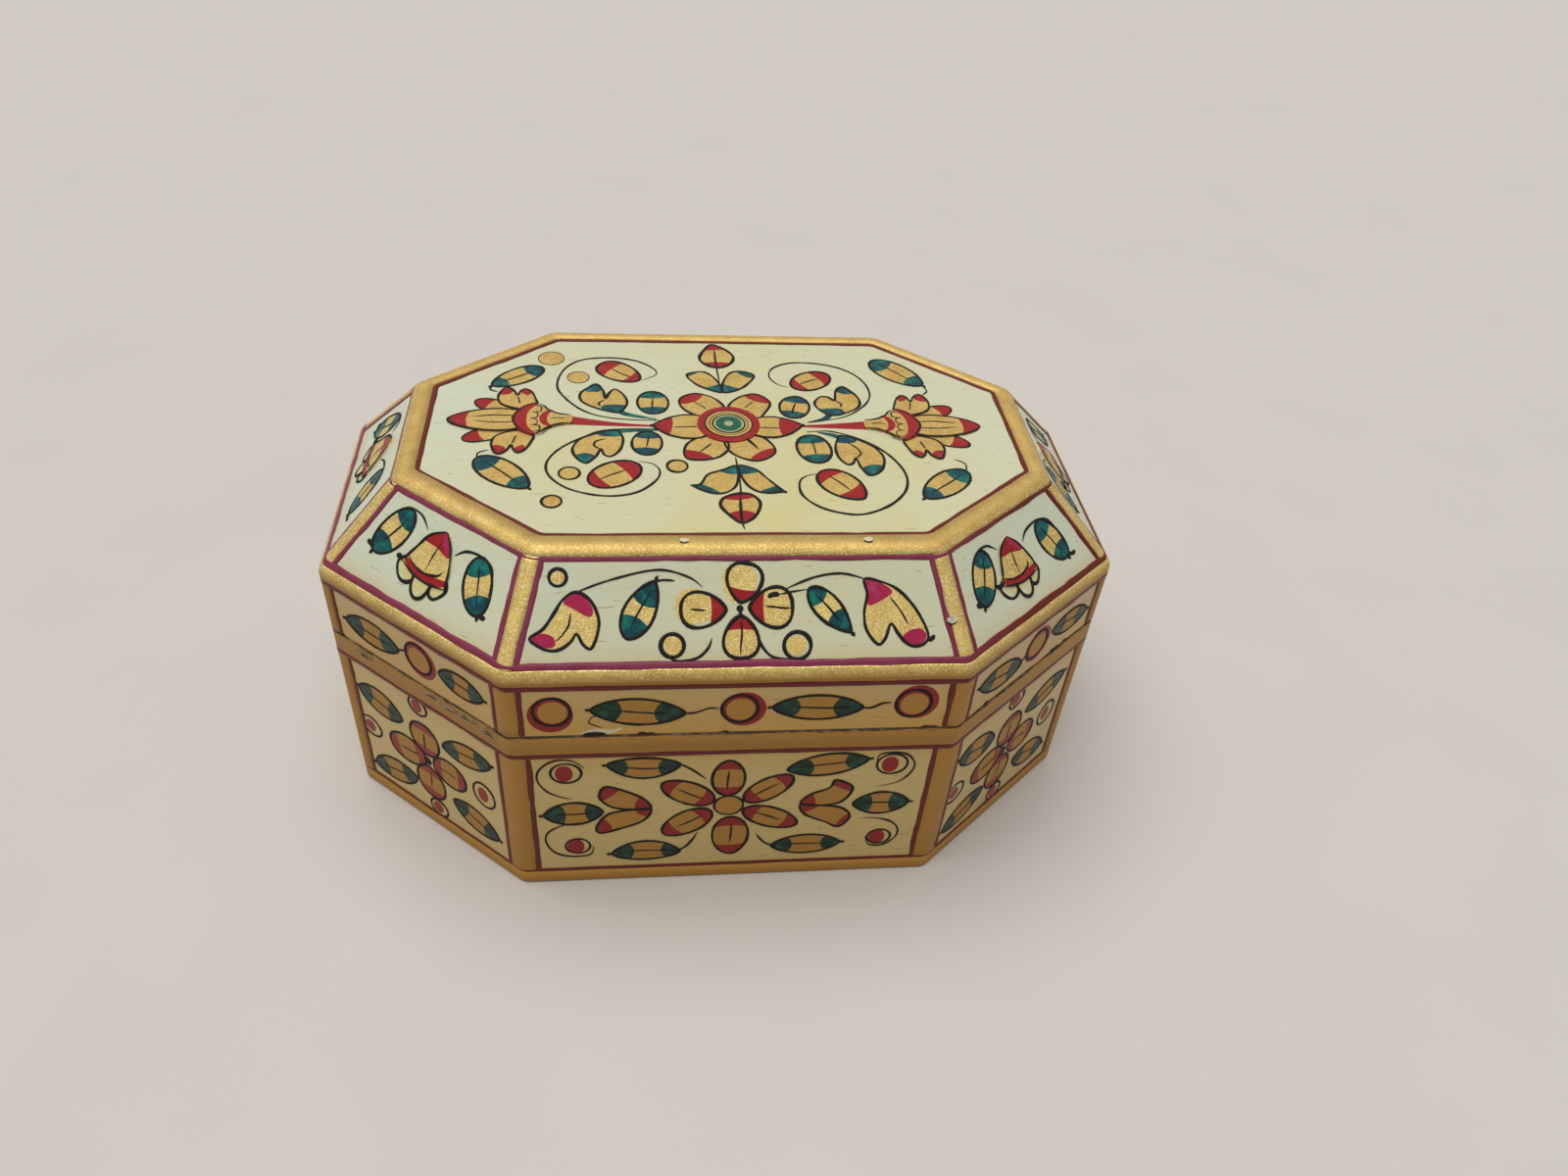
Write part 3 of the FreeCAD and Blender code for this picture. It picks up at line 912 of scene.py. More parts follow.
def paint_rosette(hand, centre):
    """Six-petalled flower with a ringed eye in the middle of the top."""
    for points, dip in (
            (((-1, 3), (0, 5), (-1.5, 7.5), (-4, 8.5), (-6, 7), (-5.5, 4.5), (-3, 2.5)), (2.5, 4.5, 0.7)),
            (((1.5, 2.5), (0.5, 5), (2, 7.5), (4.5, 8.5), (6.3, 6.5), (5.5, 4), (4, 2)), (2.4, 4.2, 0.5)),
            (((-1, -1), (-3.5, -2), (-5.5, -4), (-5.5, -7), (-2, -7), (0, -4.5)), (2.3, 4.0, 0.5)),
            (((1, -1), (-0.5, -3), (0.5, -6), (3.5, -7.5), (6, -5.5), (5, -2.5),
              (3, -1.5)), (2.6, 4.3, 0.5))):
        paint_dipped(hand, points, "red", [dip], 0.95)
    for vein, width in ((((-2.4, 4.6), (-4.2, 6.6)), 0.5), (((2.7, 4.9), (4.0, 6.6)), 0.5),
                        (((-2.2, -3.6), (-3.9, -5.7)), 0.6), (((2.4, -2.3), (3.9, -4.9)), 1.1)):
        hand.curve(vein, width)
    hand.layer = 1
    for points, dip in (
            (((-2, 0.5), (-3, 2.5), (-5.5, 3), (-8, 2), (-9.8, 0.5), (-9.8, 0.4), (-8, -1.5), (-5.5, -2.5),
              (-3, -2)),
             (2.7, 6.2, 0.3)),
            (((2.5, 0.5), (3.5, 2), (6, 2.7), (8.5, 2), (10.2, 0.8), (10.2, 0.7), (8.5, -1.2), (6, -2.2),
              (3.5, -1.5)),
             (2.5, 6.5, 0.3))):
        paint_dipped(hand, points, "red", [dip], 0.8)
    hand.curve(((-7.0, 0.0), (-5.2, 0.1), (-3.6, 0.2)), 0.6)
    hand.curve(((4.4, 0.1), (5.8, 0.0), (7.2, 0.0)), 0.6)
    hand.layer = 2
    hand.disc("red", centre, 4.2)
    eye = (("gold", 3.15), ("sea", 2.15), ("jade", 1.75), ("sea", 0.6))
    for coat, (paint, radius) in enumerate(eye, start=1):
        hand.disc(paint, centre, radius, coat)
    for radius, width in ((3.15, 0.5), (2.6, 0.35), (2.15, 0.7)):
        hand.hoop(centre, radius, width)
    hand.layer = 0


def paint_lotus(hand, root, outward_sign):
    """Lotus at the end of a stem: a cup with two crescents, a long middle petal, and a round and a split
    petal either side."""
    x, y = root

    def out(*places):
        return [(x + outward_sign * a, y + b) for a, b in places]

    for up, reach in ((1, 12.7), (-1, 13.5)):
        hand.layer = 0
        hand.petal(*out((7.0, 1.7 * up), (reach, 4.6 * up)), 1.5, (None, "red"), (0, 0.36), ROUND,
                   vein=None, outline=0.8)
        hand.layer = 1
        hand.shape(out((6.6, 2.6 * up), (9.1, 3.6 * up), (9.8, 5.4 * up), (9.3, 7.4 * up), (8.6, 7.8 * up),
                       (7.8, 7.0 * up), (7.3, 5.9 * up), (6.9, 7.0 * up), (6.3, 7.5 * up), (5.5, 6.8 * up),
                       (4.9, 5.2 * up), (4.7, 3.6 * up)), outline=0.9)
        hand.patch("red", out((9.6, 6.1 * up), (9.2, 7.4 * up), (8.6, 7.7 * up), (7.9, 6.9 * up),
                              (8.5, 6.1 * up)))
        hand.patch("red", out((6.9, 6.7 * up), (6.3, 7.4 * up), (5.5, 6.7 * up), (5.9, 5.9 * up)))
        hand.curve(out((7.2, 5.6 * up), (7.0, 4.6 * up), (6.8, 3.8 * up)), 0.6)
    hand.layer = 2
    hand.petal(*out((5.6, -0.1), (15.8, -0.2)), 2.55, (None, "red"), (0, 0.27), (0.36, 0.62),
               vein=None, outline=0.85)
    for b in (0.75, -0.75):
        hand.curve(out((7.4, b), (10.0, 1.1 * b), (12.6, 0.6 * b)), 0.6)
    hand.layer = 3
    hand.patch("gold", out((0.0, 0.9), (1.6, 1.2), (3.2, 2.2), (4.8, 3.6), (5.8, 3.0), (6.6, 0.0),
                           (5.8, -3.0), (4.8, -3.6), (3.2, -2.1), (1.6, -1.1), (0.0, -0.8)), coat=0)
    hand.ribbon("red", out((2.5, 2.0), (3.3, 1.2), (3.6, 0.0), (3.3, -1.1), (2.5, -1.8)),
                (0.3, 0.8, 1.0, 0.8, 0.3), coat=1)
    hand.ribbon("red", out((4.7, 3.6), (6.1, 2.2), (6.6, 0.0), (6.1, -2.2), (4.7, -3.6)),
                (0.7, 1.4, 1.7, 1.4, 0.7), coat=1)
    for edge in (1, -1):
        hand.curve(out((0.0, 0.9 * edge), (1.6, 1.2 * edge), (3.0, 2.1 * edge), (3.6, 3.0 * edge),
                       (4.8, 3.8 * edge)), 0.8)
    hand.curve(out((4.8, 3.8), (6.5, 2.4), (7.5, 0.0), (6.5, -2.4), (4.8, -3.8)), 0.8)
    hand.curve(out((0.8, 0.1), (1.7, 0.2), (2.7, 0.0)), 0.5)
    for a, b in ((4.2, 2.3), (4.6, 0.8), (4.6, -0.8), (4.2, -2.3)):
        hand.curve(out((a + 0.6, b + 0.75), (a - 0.2, b + 0.5), (a - 0.2, b - 0.5),
                       (a + 0.6, b - 0.75)), 0.55)
    hand.layer = 0


def paint_capped_leaves(hand):
    """Two pairs of gold leaves above and below the rosette, teal at foot and tip, and the end buds."""
    for points, dips in (
            (((0.7, -8.7), (-1, -9.5), (-3, -10.5), (-4, -12.5), (-5, -12.8), (-5, -12.9), (-3, -14.3),
              (-1, -14.3), (0.5, -12.5)), ((8.5, 1.3, 0.2), (3.0, 6.7, 0.4))),
            (((0.9, -8.7), (3, -9.3), (4.5, -11.5), (6.2, -14), (6.2, -14.1), (3.5, -14.3), (1.7, -12.5)),
             ((6.5, 1.4, 0.15), (2.5, 5.2, 0.1))),
            (((-0.1, 8.9), (-0.5, 11.5), (-1.7, 13.7), (-3, 14.3), (-4.8, 13.5), (-4, 11.5), (-2.5, 10)),
             ((6.0, 0.8, 0.0), (3.0, 4.4, 0.1))),
            (((0, 8.9), (0.2, 11.5), (1.3, 14), (3, 14.5), (4.7, 13.4), (3.5, 11), (2, 9.5)),
             ((5.6, 0.8, 0.0), (2.5, 4.3, 0.3)))):
        paint_dipped(hand, points, "teal", dips, 0.95)
    for points, dips in (
            (((0.7, -14.5), (-1.2, -15.3), (-1.8, -17), (-0.5, -19.3), (0.7, -20.4), (2.3, -19), (3.1, -16.5),
              (2.2, -14.8)), ((6.6, 1.1, 0.5), (2.7, 5.2, 0.7))),
            (((-0.5, 15.5), (-2.2, 16.5), (-2.8, 18.3), (-1.7, 21), (-0.7, 21.9), (1.2, 20.3), (2.1, 18.3),
              (1.2, 16.2)), ((6.6, 1.1, 0.2), (2.7, 4.8, 0.0)))):
        paint_dipped(hand, points, "red", dips, 1.2)
    hand.curve([(0.7, -6.6), (0.8, -8.8), (0.9, -12.9), (0.7, -15.8)], 0.6)
    hand.curve([(0.7, -15.4), (0.6, -18.0), (0.6, -20.0), (0.8, -21.7)], 0.9)
    hand.curve([(-0.6, 20.8), (-0.5, 15.5), (-0.3, 11.2)], 0.7)


def paint_scrolls(hand):
    """Four scrolls that spring from the rosette, each round a bud."""
    hand.curve([(-7.8, 1.7), (-14.6, 2.1), (-18.8, 3.9), (-21.7, 7.6), (-22.6, 10.7), (-21.7, 14.7),
                (-19.4, 17.1), (-15.7, 17.8), (-12.0, 17.1), (-9.6, 15.2), (-9.1, 13.4),
                (-11.2, 11.7)], 0.8)
    hand.curve([(11.2, 1.7), (15.9, 2.8), (19.1, 5.5), (20.6, 8.6), (20.1, 12.3), (18.0, 15.2), (14.6, 16.8),
                (10.6, 17.1), (7.7, 15.7), (6.8, 13.4), (7.7, 11.3), (9.3, 10.3)], 0.8)
    hand.curve([(-9.4, -0.3), (-15.7, -0.6), (-18.8, -2.4), (-21.7, -5.1), (-23.1, -8.2), (-22.5, -11.1),
                (-19.9, -13.7), (-15.7, -15.0), (-12.0, -14.3), (-9.6, -11.9), (-9.0, -9.8), (-9.9, -8.2),
                (-11.7, -7.7)], 0.9)
    hand.curve([(10.6, -0.8), (13.8, -0.6), (17.5, -2.4), (20.6, -5.6), (22.3, -9.8), (21.9, -13.5),
                (19.6, -16.6), (16.4, -18.5), (13.8, -18.7), (10.6, -17.4), (8.5, -14.8), (8.5, -11.9),
                (9.8, -10.6), (11.4, -10.3)], 1.0)
    bud(hand, (-11.5, 11.8), (-16.9, 16.0), 2.2, FULL)
    bud(hand, (9.9, 10.4), (15.3, 13.9), 2.2, ROUND)
    bud(hand, (-17.6, -12.5), (-11.6, -8.4), 2.5, ROUND)
    bud(hand, (11.4, -9.8), (16.2, -15.5), 2.4, BUD)


def paint_split_leaves(hand):
    """Two-lobed teal-tipped leaves and round buds along the stems, with the teal run back into the stem."""
    lobed = (
        (((-14.4, 3.6), (-17.0, 4.5), (-19.1, 6.2), (-19.4, 8.2), (-18.3, 9.8), (-17.3, 10.6), (-16.4, 9.2),
          (-16.0, 7.0), (-15.5, 8.5), (-14.7, 9.4), (-13.6, 8.0), (-13.1, 6.2), (-13.5, 4.6)),
         ((-18.9, 8.9), (-18.3, 9.8), (-17.3, 10.5), (-16.5, 9.2), (-17.5, 8.6)),
         ((-14.2, 3.7), (-16.4, 4.4), (-16.0, 5.4), (-13.4, 5.4), (-13.6, 4.6)),
         ((-16.2, 6.6), (-16.9, 5.8), (-16.6, 5.0))),
        (((14.7, 3.3), (17.2, 4.3), (18.7, 5.8), (18.8, 7.8), (17.8, 9.8), (16.9, 10.7), (15.9, 9.6),
          (15.4, 7.1), (14.6, 7.9), (13.4, 7.9), (12.5, 6.2), (13.2, 4.4)),
         ((18.3, 9.0), (17.8, 9.8), (16.9, 10.6), (15.9, 9.6), (16.9, 8.8)),
         ((14.6, 3.4), (16.3, 4.0), (15.8, 5.0), (13.2, 4.9), (13.4, 4.3)),
         ((15.5, 7.0), (16.2, 6.2), (16.0, 5.4))),
        (((-14.6, -0.7), (-17.0, -1.4), (-19.1, -2.8), (-20.0, -5.0), (-19.4, -7.0), (-18.2, -8.1),
          (-17.1, -6.8), (-16.4, -5.0), (-16.0, -6.2), (-15.1, -6.6), (-14.0, -5.2), (-13.6, -3.0),
          (-13.9, -1.5)),
         ((-19.5, -6.4), (-19.2, -7.2), (-18.2, -8.0), (-17.1, -6.7), (-18.2, -5.9)),
         ((-14.6, -0.8), (-16.8, -1.4), (-16.2, -2.1), (-13.9, -2.0), (-14.0, -1.3)),
         ((-16.5, -5.0), (-17.3, -4.2), (-17.0, -3.2), (-15.8, -2.7))),
        (((15.1, -1.6), (17.0, -2.4), (19.1, -4.2), (20.1, -6.6), (19.4, -9.4), (17.7, -10.6),
          (16.8, -9.0), (16.4, -6.8), (15.9, -7.9), (15.1, -8.2), (14.2, -6.8), (14.0, -4.6),
          (14.5, -2.6)),
         ((19.7, -8.5), (19.3, -9.5), (17.7, -10.5), (16.9, -9.2), (18.2, -8.3)),
         ((15.1, -1.7), (17.0, -2.5), (16.4, -3.4), (14.4, -3.2), (14.6, -2.4)),
         ((16.4, -6.8), (17.2, -5.8), (16.8, -4.4), (15.8, -3.4))))
    for outline, tip_patch, foot_patch, vein in lobed:
        hand.shape(outline)
        hand.patch("teal", tip_patch)
        hand.patch("teal", foot_patch)
        hand.curve(vein, 0.7)
    hand.ribbon("teal", [(-14.4, 4.2), (-13.0, 3.1), (-9.2, 2.0)], (0.9, 0.8, 0.15), coat=1)
    hand.ribbon("teal", [(14.4, 3.8), (13.4, 2.4), (11.0, 1.5)], (0.9, 0.8, 0.15), coat=1)
    hand.ribbon("teal", [(-14.4, -1.0), (-12.0, -0.6), (-8.6, -0.5)], (0.7, 0.8, 0.3), coat=1)
    hand.ribbon("teal", [(15.2, -2.2), (14.0, -1.5), (12.0, -0.8)], (0.8, 0.8, 0.15), coat=1)
    for base, tip, half_width in (((-9.5, 3.3), (-9.8, 8.9), 2.1), ((9.0, 2.6), (10.2, 8.0), 2.05),
                                  ((-10.4, -0.9), (-10.7, -6.3), 1.95), ((10.8, -1.5), (11.5, -7.9), 2.25)):
        hand.petal(base, tip, half_width, ("teal", "teal"), (0.26, 0.26), ROUND, bow=0.05)


def paint_top(hand):
    """Rosette, lotus at each end, buds above and below, scrolls, leaves and gold dots."""
    hand.ribbon("red", [(-9.6, 0.4), (-15.0, 0.8), (-20.6, 1.6)], (0.35, 0.9, 2.0))
    hand.ribbon("red", [(9.9, 0.6), (14.5, 0.7), (19.0, 0.9)], (0.4, 1.1, 2.0))
    paint_scrolls(hand)
    paint_split_leaves(hand)
    paint_lotus(hand, (-20.4, 1.6), -1)
    paint_lotus(hand, (18.8, 0.9), 1)
    paint_capped_leaves(hand)
    for base, tip, half_width, curl in (
            ((-24.8, 14.9), (-31.2, 10.0), 1.9, ((-31.2, 10.0), (-31.4, 9.0), (-30.3, 8.4))),
            ((22.2, 17.9), (28.6, 11.3), 2.3, ((28.6, 11.3), (29.0, 9.8), (28.2, 8.8))),
            ((-31.7, -7.0), (-25.1, -13.3), 2.2, ((-31.7, -7.0), (-31.6, -5.9), (-30.4, -5.3))),
            ((30.5, -9.6), (24.0, -15.4), 2.1, ((30.5, -9.6), (30.7, -8.0), (29.4, -6.9)))):
        leaf(hand, base, tip, half_width, "teal", (0.24, 0.22), form=BUD)
        hand.curve(curl, 0.6)
    dots = (((-23.7, 17.4), 1.7, 0.3), ((-19.8, 12.4), 1.4, 0.3), ((-20.2, -10.3), 1.2, 0.8),
            ((-6.8, -8.7), 1.2, 1.0), ((-22.1, -16.1), 1.1, 0.9))
    for centre, radius, ringed in dots:
        hand.disc("gold", centre, radius)
        hand.hoop(centre, radius + 0.1, ringed)
    paint_rosette(hand, (0.3, 0.8))


# Ornament of the slopes

def paint_front_slope(hand):
    """Four-petalled flower between two leaves and two tulips, with arching stems and ringed dots."""
    for base, tip, half_width, slip, vein in (
            ((0.0, 8.3), (0.8, 12.9), 2.1, (-0.6, -0.2), None),
            ((1.0, 7.7), (6.1, 7.7), 2.4, (0.1, 0.1), (0.38, 0.97)),
            ((0.0, 6.8), (0.0, 1.8), 2.1, (-0.1, 0.0), (0.1, 0.98)),
            ((-1.7, 7.5), (-7.0, 7.5), 2.1, (-0.6, 0.4), (0.45, 0.8))):
        hand.petal(base, tip, half_width, ("red", None), (0.36, 0), (0.72, 0.42), vein=vein, slip=slip,
                   outline=1.15)
    hand.disc("ink", (-0.1, 7.6), 0.42, coat=2)
    hand.curve([(-0.1, 7.3), (0.1, 6.7), (0.8, 6.4)], 1.2)
    hand.curve([(3.2, 8.9), (3.8, 9.2), (4.6, 9.2)], 1.7)
    hand.shape([(-18.9, 9.7), (-17.3, 8.7), (-16.4, 6.6), (-16.6, 4.7), (-17.3, 3.2), (-18.2, 3.7),
                (-18.9, 4.9), (-19.5, 4.1), (-20.5, 3.3), (-21.6, 3.0), (-22.8, 3.3), (-24.2, 4.4),
                (-22.7, 5.5), (-21.5, 7.2), (-20.4, 8.9)], slip=(0.25, -0.1))
    hand.patch("raspberry", [(-20.4, 8.5), (-19.6, 9.3), (-18.9, 9.6), (-17.7, 8.9), (-17.0, 7.5),
                             (-17.5, 6.8), (-19.0, 7.6)])
    hand.patch("raspberry", [(-24.0, 4.4), (-22.9, 5.0), (-21.6, 4.6), (-21.4, 3.5), (-22.7, 3.4)])
    hand.curve([(-19.6, 7.3), (-19.8, 5.9), (-20.6, 4.7), (-21.4, 4.0)], 0.6)
    hand.shape([(14.7, 10.9), (15.0, 9.1), (14.6, 6.9), (14.9, 4.8), (16.2, 3.2), (17.1, 3.9), (17.8, 5.6),
                (18.6, 4.5), (19.5, 3.4), (20.6, 2.9), (21.8, 3.2), (22.3, 4.1), (21.7, 5.8), (20.4, 7.9),
                (18.6, 9.7), (16.6, 10.6)], slip=(0.1, -0.1))
    hand.patch("raspberry", [(14.8, 10.7), (16.5, 10.5), (18.0, 9.5), (17.3, 8.7), (15.3, 7.8), (14.9, 8.9)])
    hand.patch("raspberry", [(19.2, 3.8), (19.9, 4.7), (21.3, 5.0), (22.1, 4.2), (21.7, 3.3), (20.6, 3.0)])
    hand.curve([(17.7, 8.8), (19.0, 7.1), (19.9, 5.4)], 0.6)
    hand.curve([(22.1, 3.8), (22.6, 3.7), (23.1, 4.2)], 1.2)
    hand.curve([(-19.6, 9.4), (-15.9, 10.8), (-11.2, 12.0), (-8.5, 12.1), (-5.8, 11.2), (-4.4, 10.1)], 0.75)
    hand.curve([(5.4, 9.9), (8.8, 11.2), (12.0, 11.6), (14.9, 10.9)], 0.8)
    hand.curve([(4.6, 9.2), (6.0, 9.5), (8.1, 9.8)], 0.6)
    leaf(hand, (-13.3, 4.3), (-9.9, 10.9), 1.8, "teal", (0.3, 0.36), form=SLIM)
    hand.curve([(-10.1, 10.8), (-8.9, 11.0), (-7.6, 10.9)], 0.7)
    leaf(hand, (8.1, 9.9), (13.0, 4.7), 1.5, "teal", (0.24, 0.36), form=SLIM)
    for centre, ring_centre, radius in (((-7.8, 3.5), (-8.0, 3.4), 1.35), ((6.5, 3.2), (6.6, 3.2), 1.6)):
        hand.disc("gold", centre, 1.2)
        hand.hoop(ring_centre, radius, 1.3)
    hand.curve([(-8.8, 2.3), (-7.4, 1.6), (-5.2, 1.9), (-3.9, 3.0), (-3.4, 4.2)], 0.9)
    hand.curve([(1.9, 4.8), (2.3, 3.4), (3.5, 2.0), (5.2, 1.6), (6.7, 1.7)], 0.9)
    hand.disc("gold", (-21.0, 11.4), 0.75)
    hand.hoop((-21.0, 11.4), 1.0, 1.1)


def paint_bell(hand, top, scale):
    """Hanging bell flower: red tip, gold body, red band and three pale scallops."""
    def at(*places):
        return [(top[0] + scale * u, top[1] + scale * v) for u, v in places]

    def scallop(*places):
        hand.shape(at(*places), paint="cream", outline=1.2)

    scallop((-4.8, -5.6), (-4.2, -7.0), (-3.1, -7.6), (-1.9, -7.1), (-1.5, -5.6), (-3.4, -4.6))
    scallop((0.9, -6.2), (1.3, -7.5), (2.3, -7.6), (3.3, -6.2), (2.6, -5.0), (1.2, -5.0))
    hand.layer = 1
    scallop((-1.7, -5.8), (-1.5, -7.7), (-0.5, -8.6), (0.6, -8.1), (1.0, -6.2), (-0.3, -5.2))
    hand.layer = 2
    hand.patch("gold", at((0.1, 0.1), (-2.1, -1.2), (-3.2, -3.3), (-4.2, -5.2), (-2.2, -6.0), (-0.4, -6.3),
                          (1.4, -6.2), (3.0, -5.9), (2.6, -3.9), (1.5, -1.5)), coat=0)
    hand.patch("red", at((0.1, 0.0), (-1.4, -0.7), (-2.4, -1.9), (-0.4, -2.1), (1.7, -2.6), (1.4, -1.4)))
    hand.patch("raspberry", at((0.1, -0.1), (0.0, -1.0), (1.2, -2.3), (1.6, -2.4), (1.4, -1.4)), coat=2)
    hand.ribbon("red", at((-3.9, -5.0), (-2.2, -5.6), (-0.4, -5.9), (1.4, -5.8), (3.0, -5.4)),
                (0.5, 0.9, 1.1, 1.0, 0.7), coat=1)
    hand.curve(at((-4.9, -5.4), (-4.1, -5.0), (-3.2, -3.3), (-2.1, -1.2), (-0.6, -0.2), (0.1, 0.1)))
    hand.curve(at((0.1, 0.1), (1.5, -1.5), (2.6, -3.9), (3.0, -5.5), (3.3, -6.4)), 0.85)
    hand.curve(at((-3.6, -4.6), (-2.0, -5.3), (-0.4, -5.5), (1.4, -5.0), (1.9, -4.2)), 0.8)
    hand.curve(at((-4.1, -5.4), (-2.2, -6.1), (-0.4, -6.4), (1.4, -6.3), (3.1, -6.0)), 0.8)
    hand.line(at((-0.1, -1.3), (-0.4, -3.2), (-0.5, -5.2)), 0.6)
    hand.disc("ink", *at((-5.0, -5.1)), 0.32, coat=2)
    hand.layer = 0


def paint_bell_slope(hand):
    """Bell flower between two upright leaves, as at the front left."""
    leaf(hand, (-5.7, 12.0), (-8.9, 5.5), 2.0, "teal", (0.26, 0.3), bend=0.15, form=ROUND)
    hand.curve([(-9.0, 6.0), (-9.8, 6.1), (-10.2, 6.4)], 1.6)
    hand.curve([(-7.6, 11.6), (-6.2, 12.2), (-4.3, 12.0), (-2.7, 10.8)], 0.8)
    leaf(hand, (5.7, 11.0), (8.8, 4.8), 2.0, "teal", (0.28, 0.28), bend=-0.15, form=ROUND)
    hand.curve([(8.9, 5.1), (9.5, 4.9), (10.0, 5.1)], 1.6)
    hand.curve([(2.4, 9.7), (3.7, 10.8), (6.0, 11.1), (7.9, 10.4), (8.9, 8.4), (9.2, 6.4)], 0.9)
    paint_bell(hand, (0.1, 11.6), 1.0)


def paint_small_bell_slope(hand):
    """Bell flower between two upright leaves, as at the front right."""
    leaf(hand, (-5.6, 11.4), (-9.0, 5.3), 1.9, "teal", (0.26, 0.3), bend=0.15, form=ROUND)
    hand.curve([(-9.1, 5.7), (-9.8, 5.8), (-10.1, 6.2)], 1.6)
    hand.curve([(-7.4, 11.0), (-6.0, 11.6), (-4.4, 11.5), (-3.1, 10.4)], 0.8)
    leaf(hand, (5.2, 10.5), (8.2, 4.4), 1.9, "teal", (0.28, 0.28), bend=-0.15, form=ROUND)
    hand.curve([(8.3, 4.7), (9.2, 4.3), (9.9, 4.4)], 1.6)
    hand.curve([(1.6, 9.4), (3.0, 10.4), (5.4, 10.7), (7.3, 10.0), (8.3, 8.0), (8.6, 6.0)], 0.9)
    paint_bell(hand, (-0.9, 11.1), 0.93)


# Ornament of the skirt

def paint_ringed_disc(hand, centre, slip):
    """Gold disc in a red ring, with a dark ring drawn a little off centre."""
    aspect = 1.07
    hand.disc("red", (centre[0] + slip[0], centre[1] + slip[1]), 2.7, aspect=aspect)
    hand.disc("gold", centre, 1.75, coat=1, aspect=aspect)
    hand.hoop((centre[0] - 0.1, centre[1] + 0.1), 2.2, 1.1, aspect=aspect)


def paint_front_skirt(hand):
    """Three ringed discs with a long leaf between each two."""
    for centre, slip in (((-22.0, 4.3), (-0.3, -0.5)), ((0.2, 4.2), (0.4, 0.0)), ((21.4, 4.5), (0.3, 0.3))):
        paint_ringed_disc(hand, centre, slip)
    leaf(hand, (-6.4, 3.7), (-17.6, 4.6), 2.2, "green", (0.26, 0.26))
    leaf(hand, (15.1, 4.1), (4.0, 4.4), 2.1, "green", (0.26, 0.24))
    hand.curve([(-6.6, 3.7), (-5.2, 3.8), (-3.6, 4.5), (-2.4, 4.4)], 0.8)
    hand.curve([(14.9, 4.0), (16.2, 4.0), (17.4, 4.7), (18.6, 4.8)], 0.8)


def paint_corner_skirt(hand):
    """One ringed disc between two leaves, as at the front left."""
    paint_ringed_disc(hand, (1.2, 4.5), (0.2, 0.0))
    leaf(hand, (-2.4, 4.0), (-11.8, 3.9), 2.1, "green", (0.28, 0.28))
    leaf(hand, (4.5, 4.4), (11.9, 4.3), 1.9, "green", (0.3, 0.28))
    hand.curve([(-2.6, 4.0), (-1.6, 4.5), (-1.1, 4.7)], 0.7)


def paint_slanted_skirt(hand):
    """One ringed disc between two slanting leaves, as at the front right."""
    paint_ringed_disc(hand, (0.4, 4.5), (0.2, 0.0))
    leaf(hand, (-2.7, 3.1), (-11.9, 4.7), 2.1, "green", (0.28, 0.28))
    leaf(hand, (3.7, 4.9), (12.2, 3.8), 1.9, "green", (0.3, 0.28))
    hand.curve([(-2.8, 3.2), (-2.2, 3.8), (-1.8, 4.4)], 0.7)


# Ornament of the base

def paint_spiral(hand, dot, hoop_radius, points):
    """Red dot in a ring, with a thin stem that curls round it."""
    hand.disc("red", dot, 1.1, aspect=1.35)
    hand.hoop((dot[0] + 0.25, dot[1] + 0.1), hoop_radius, 0.8, aspect=0.95)
    hand.curve(points, 0.75)


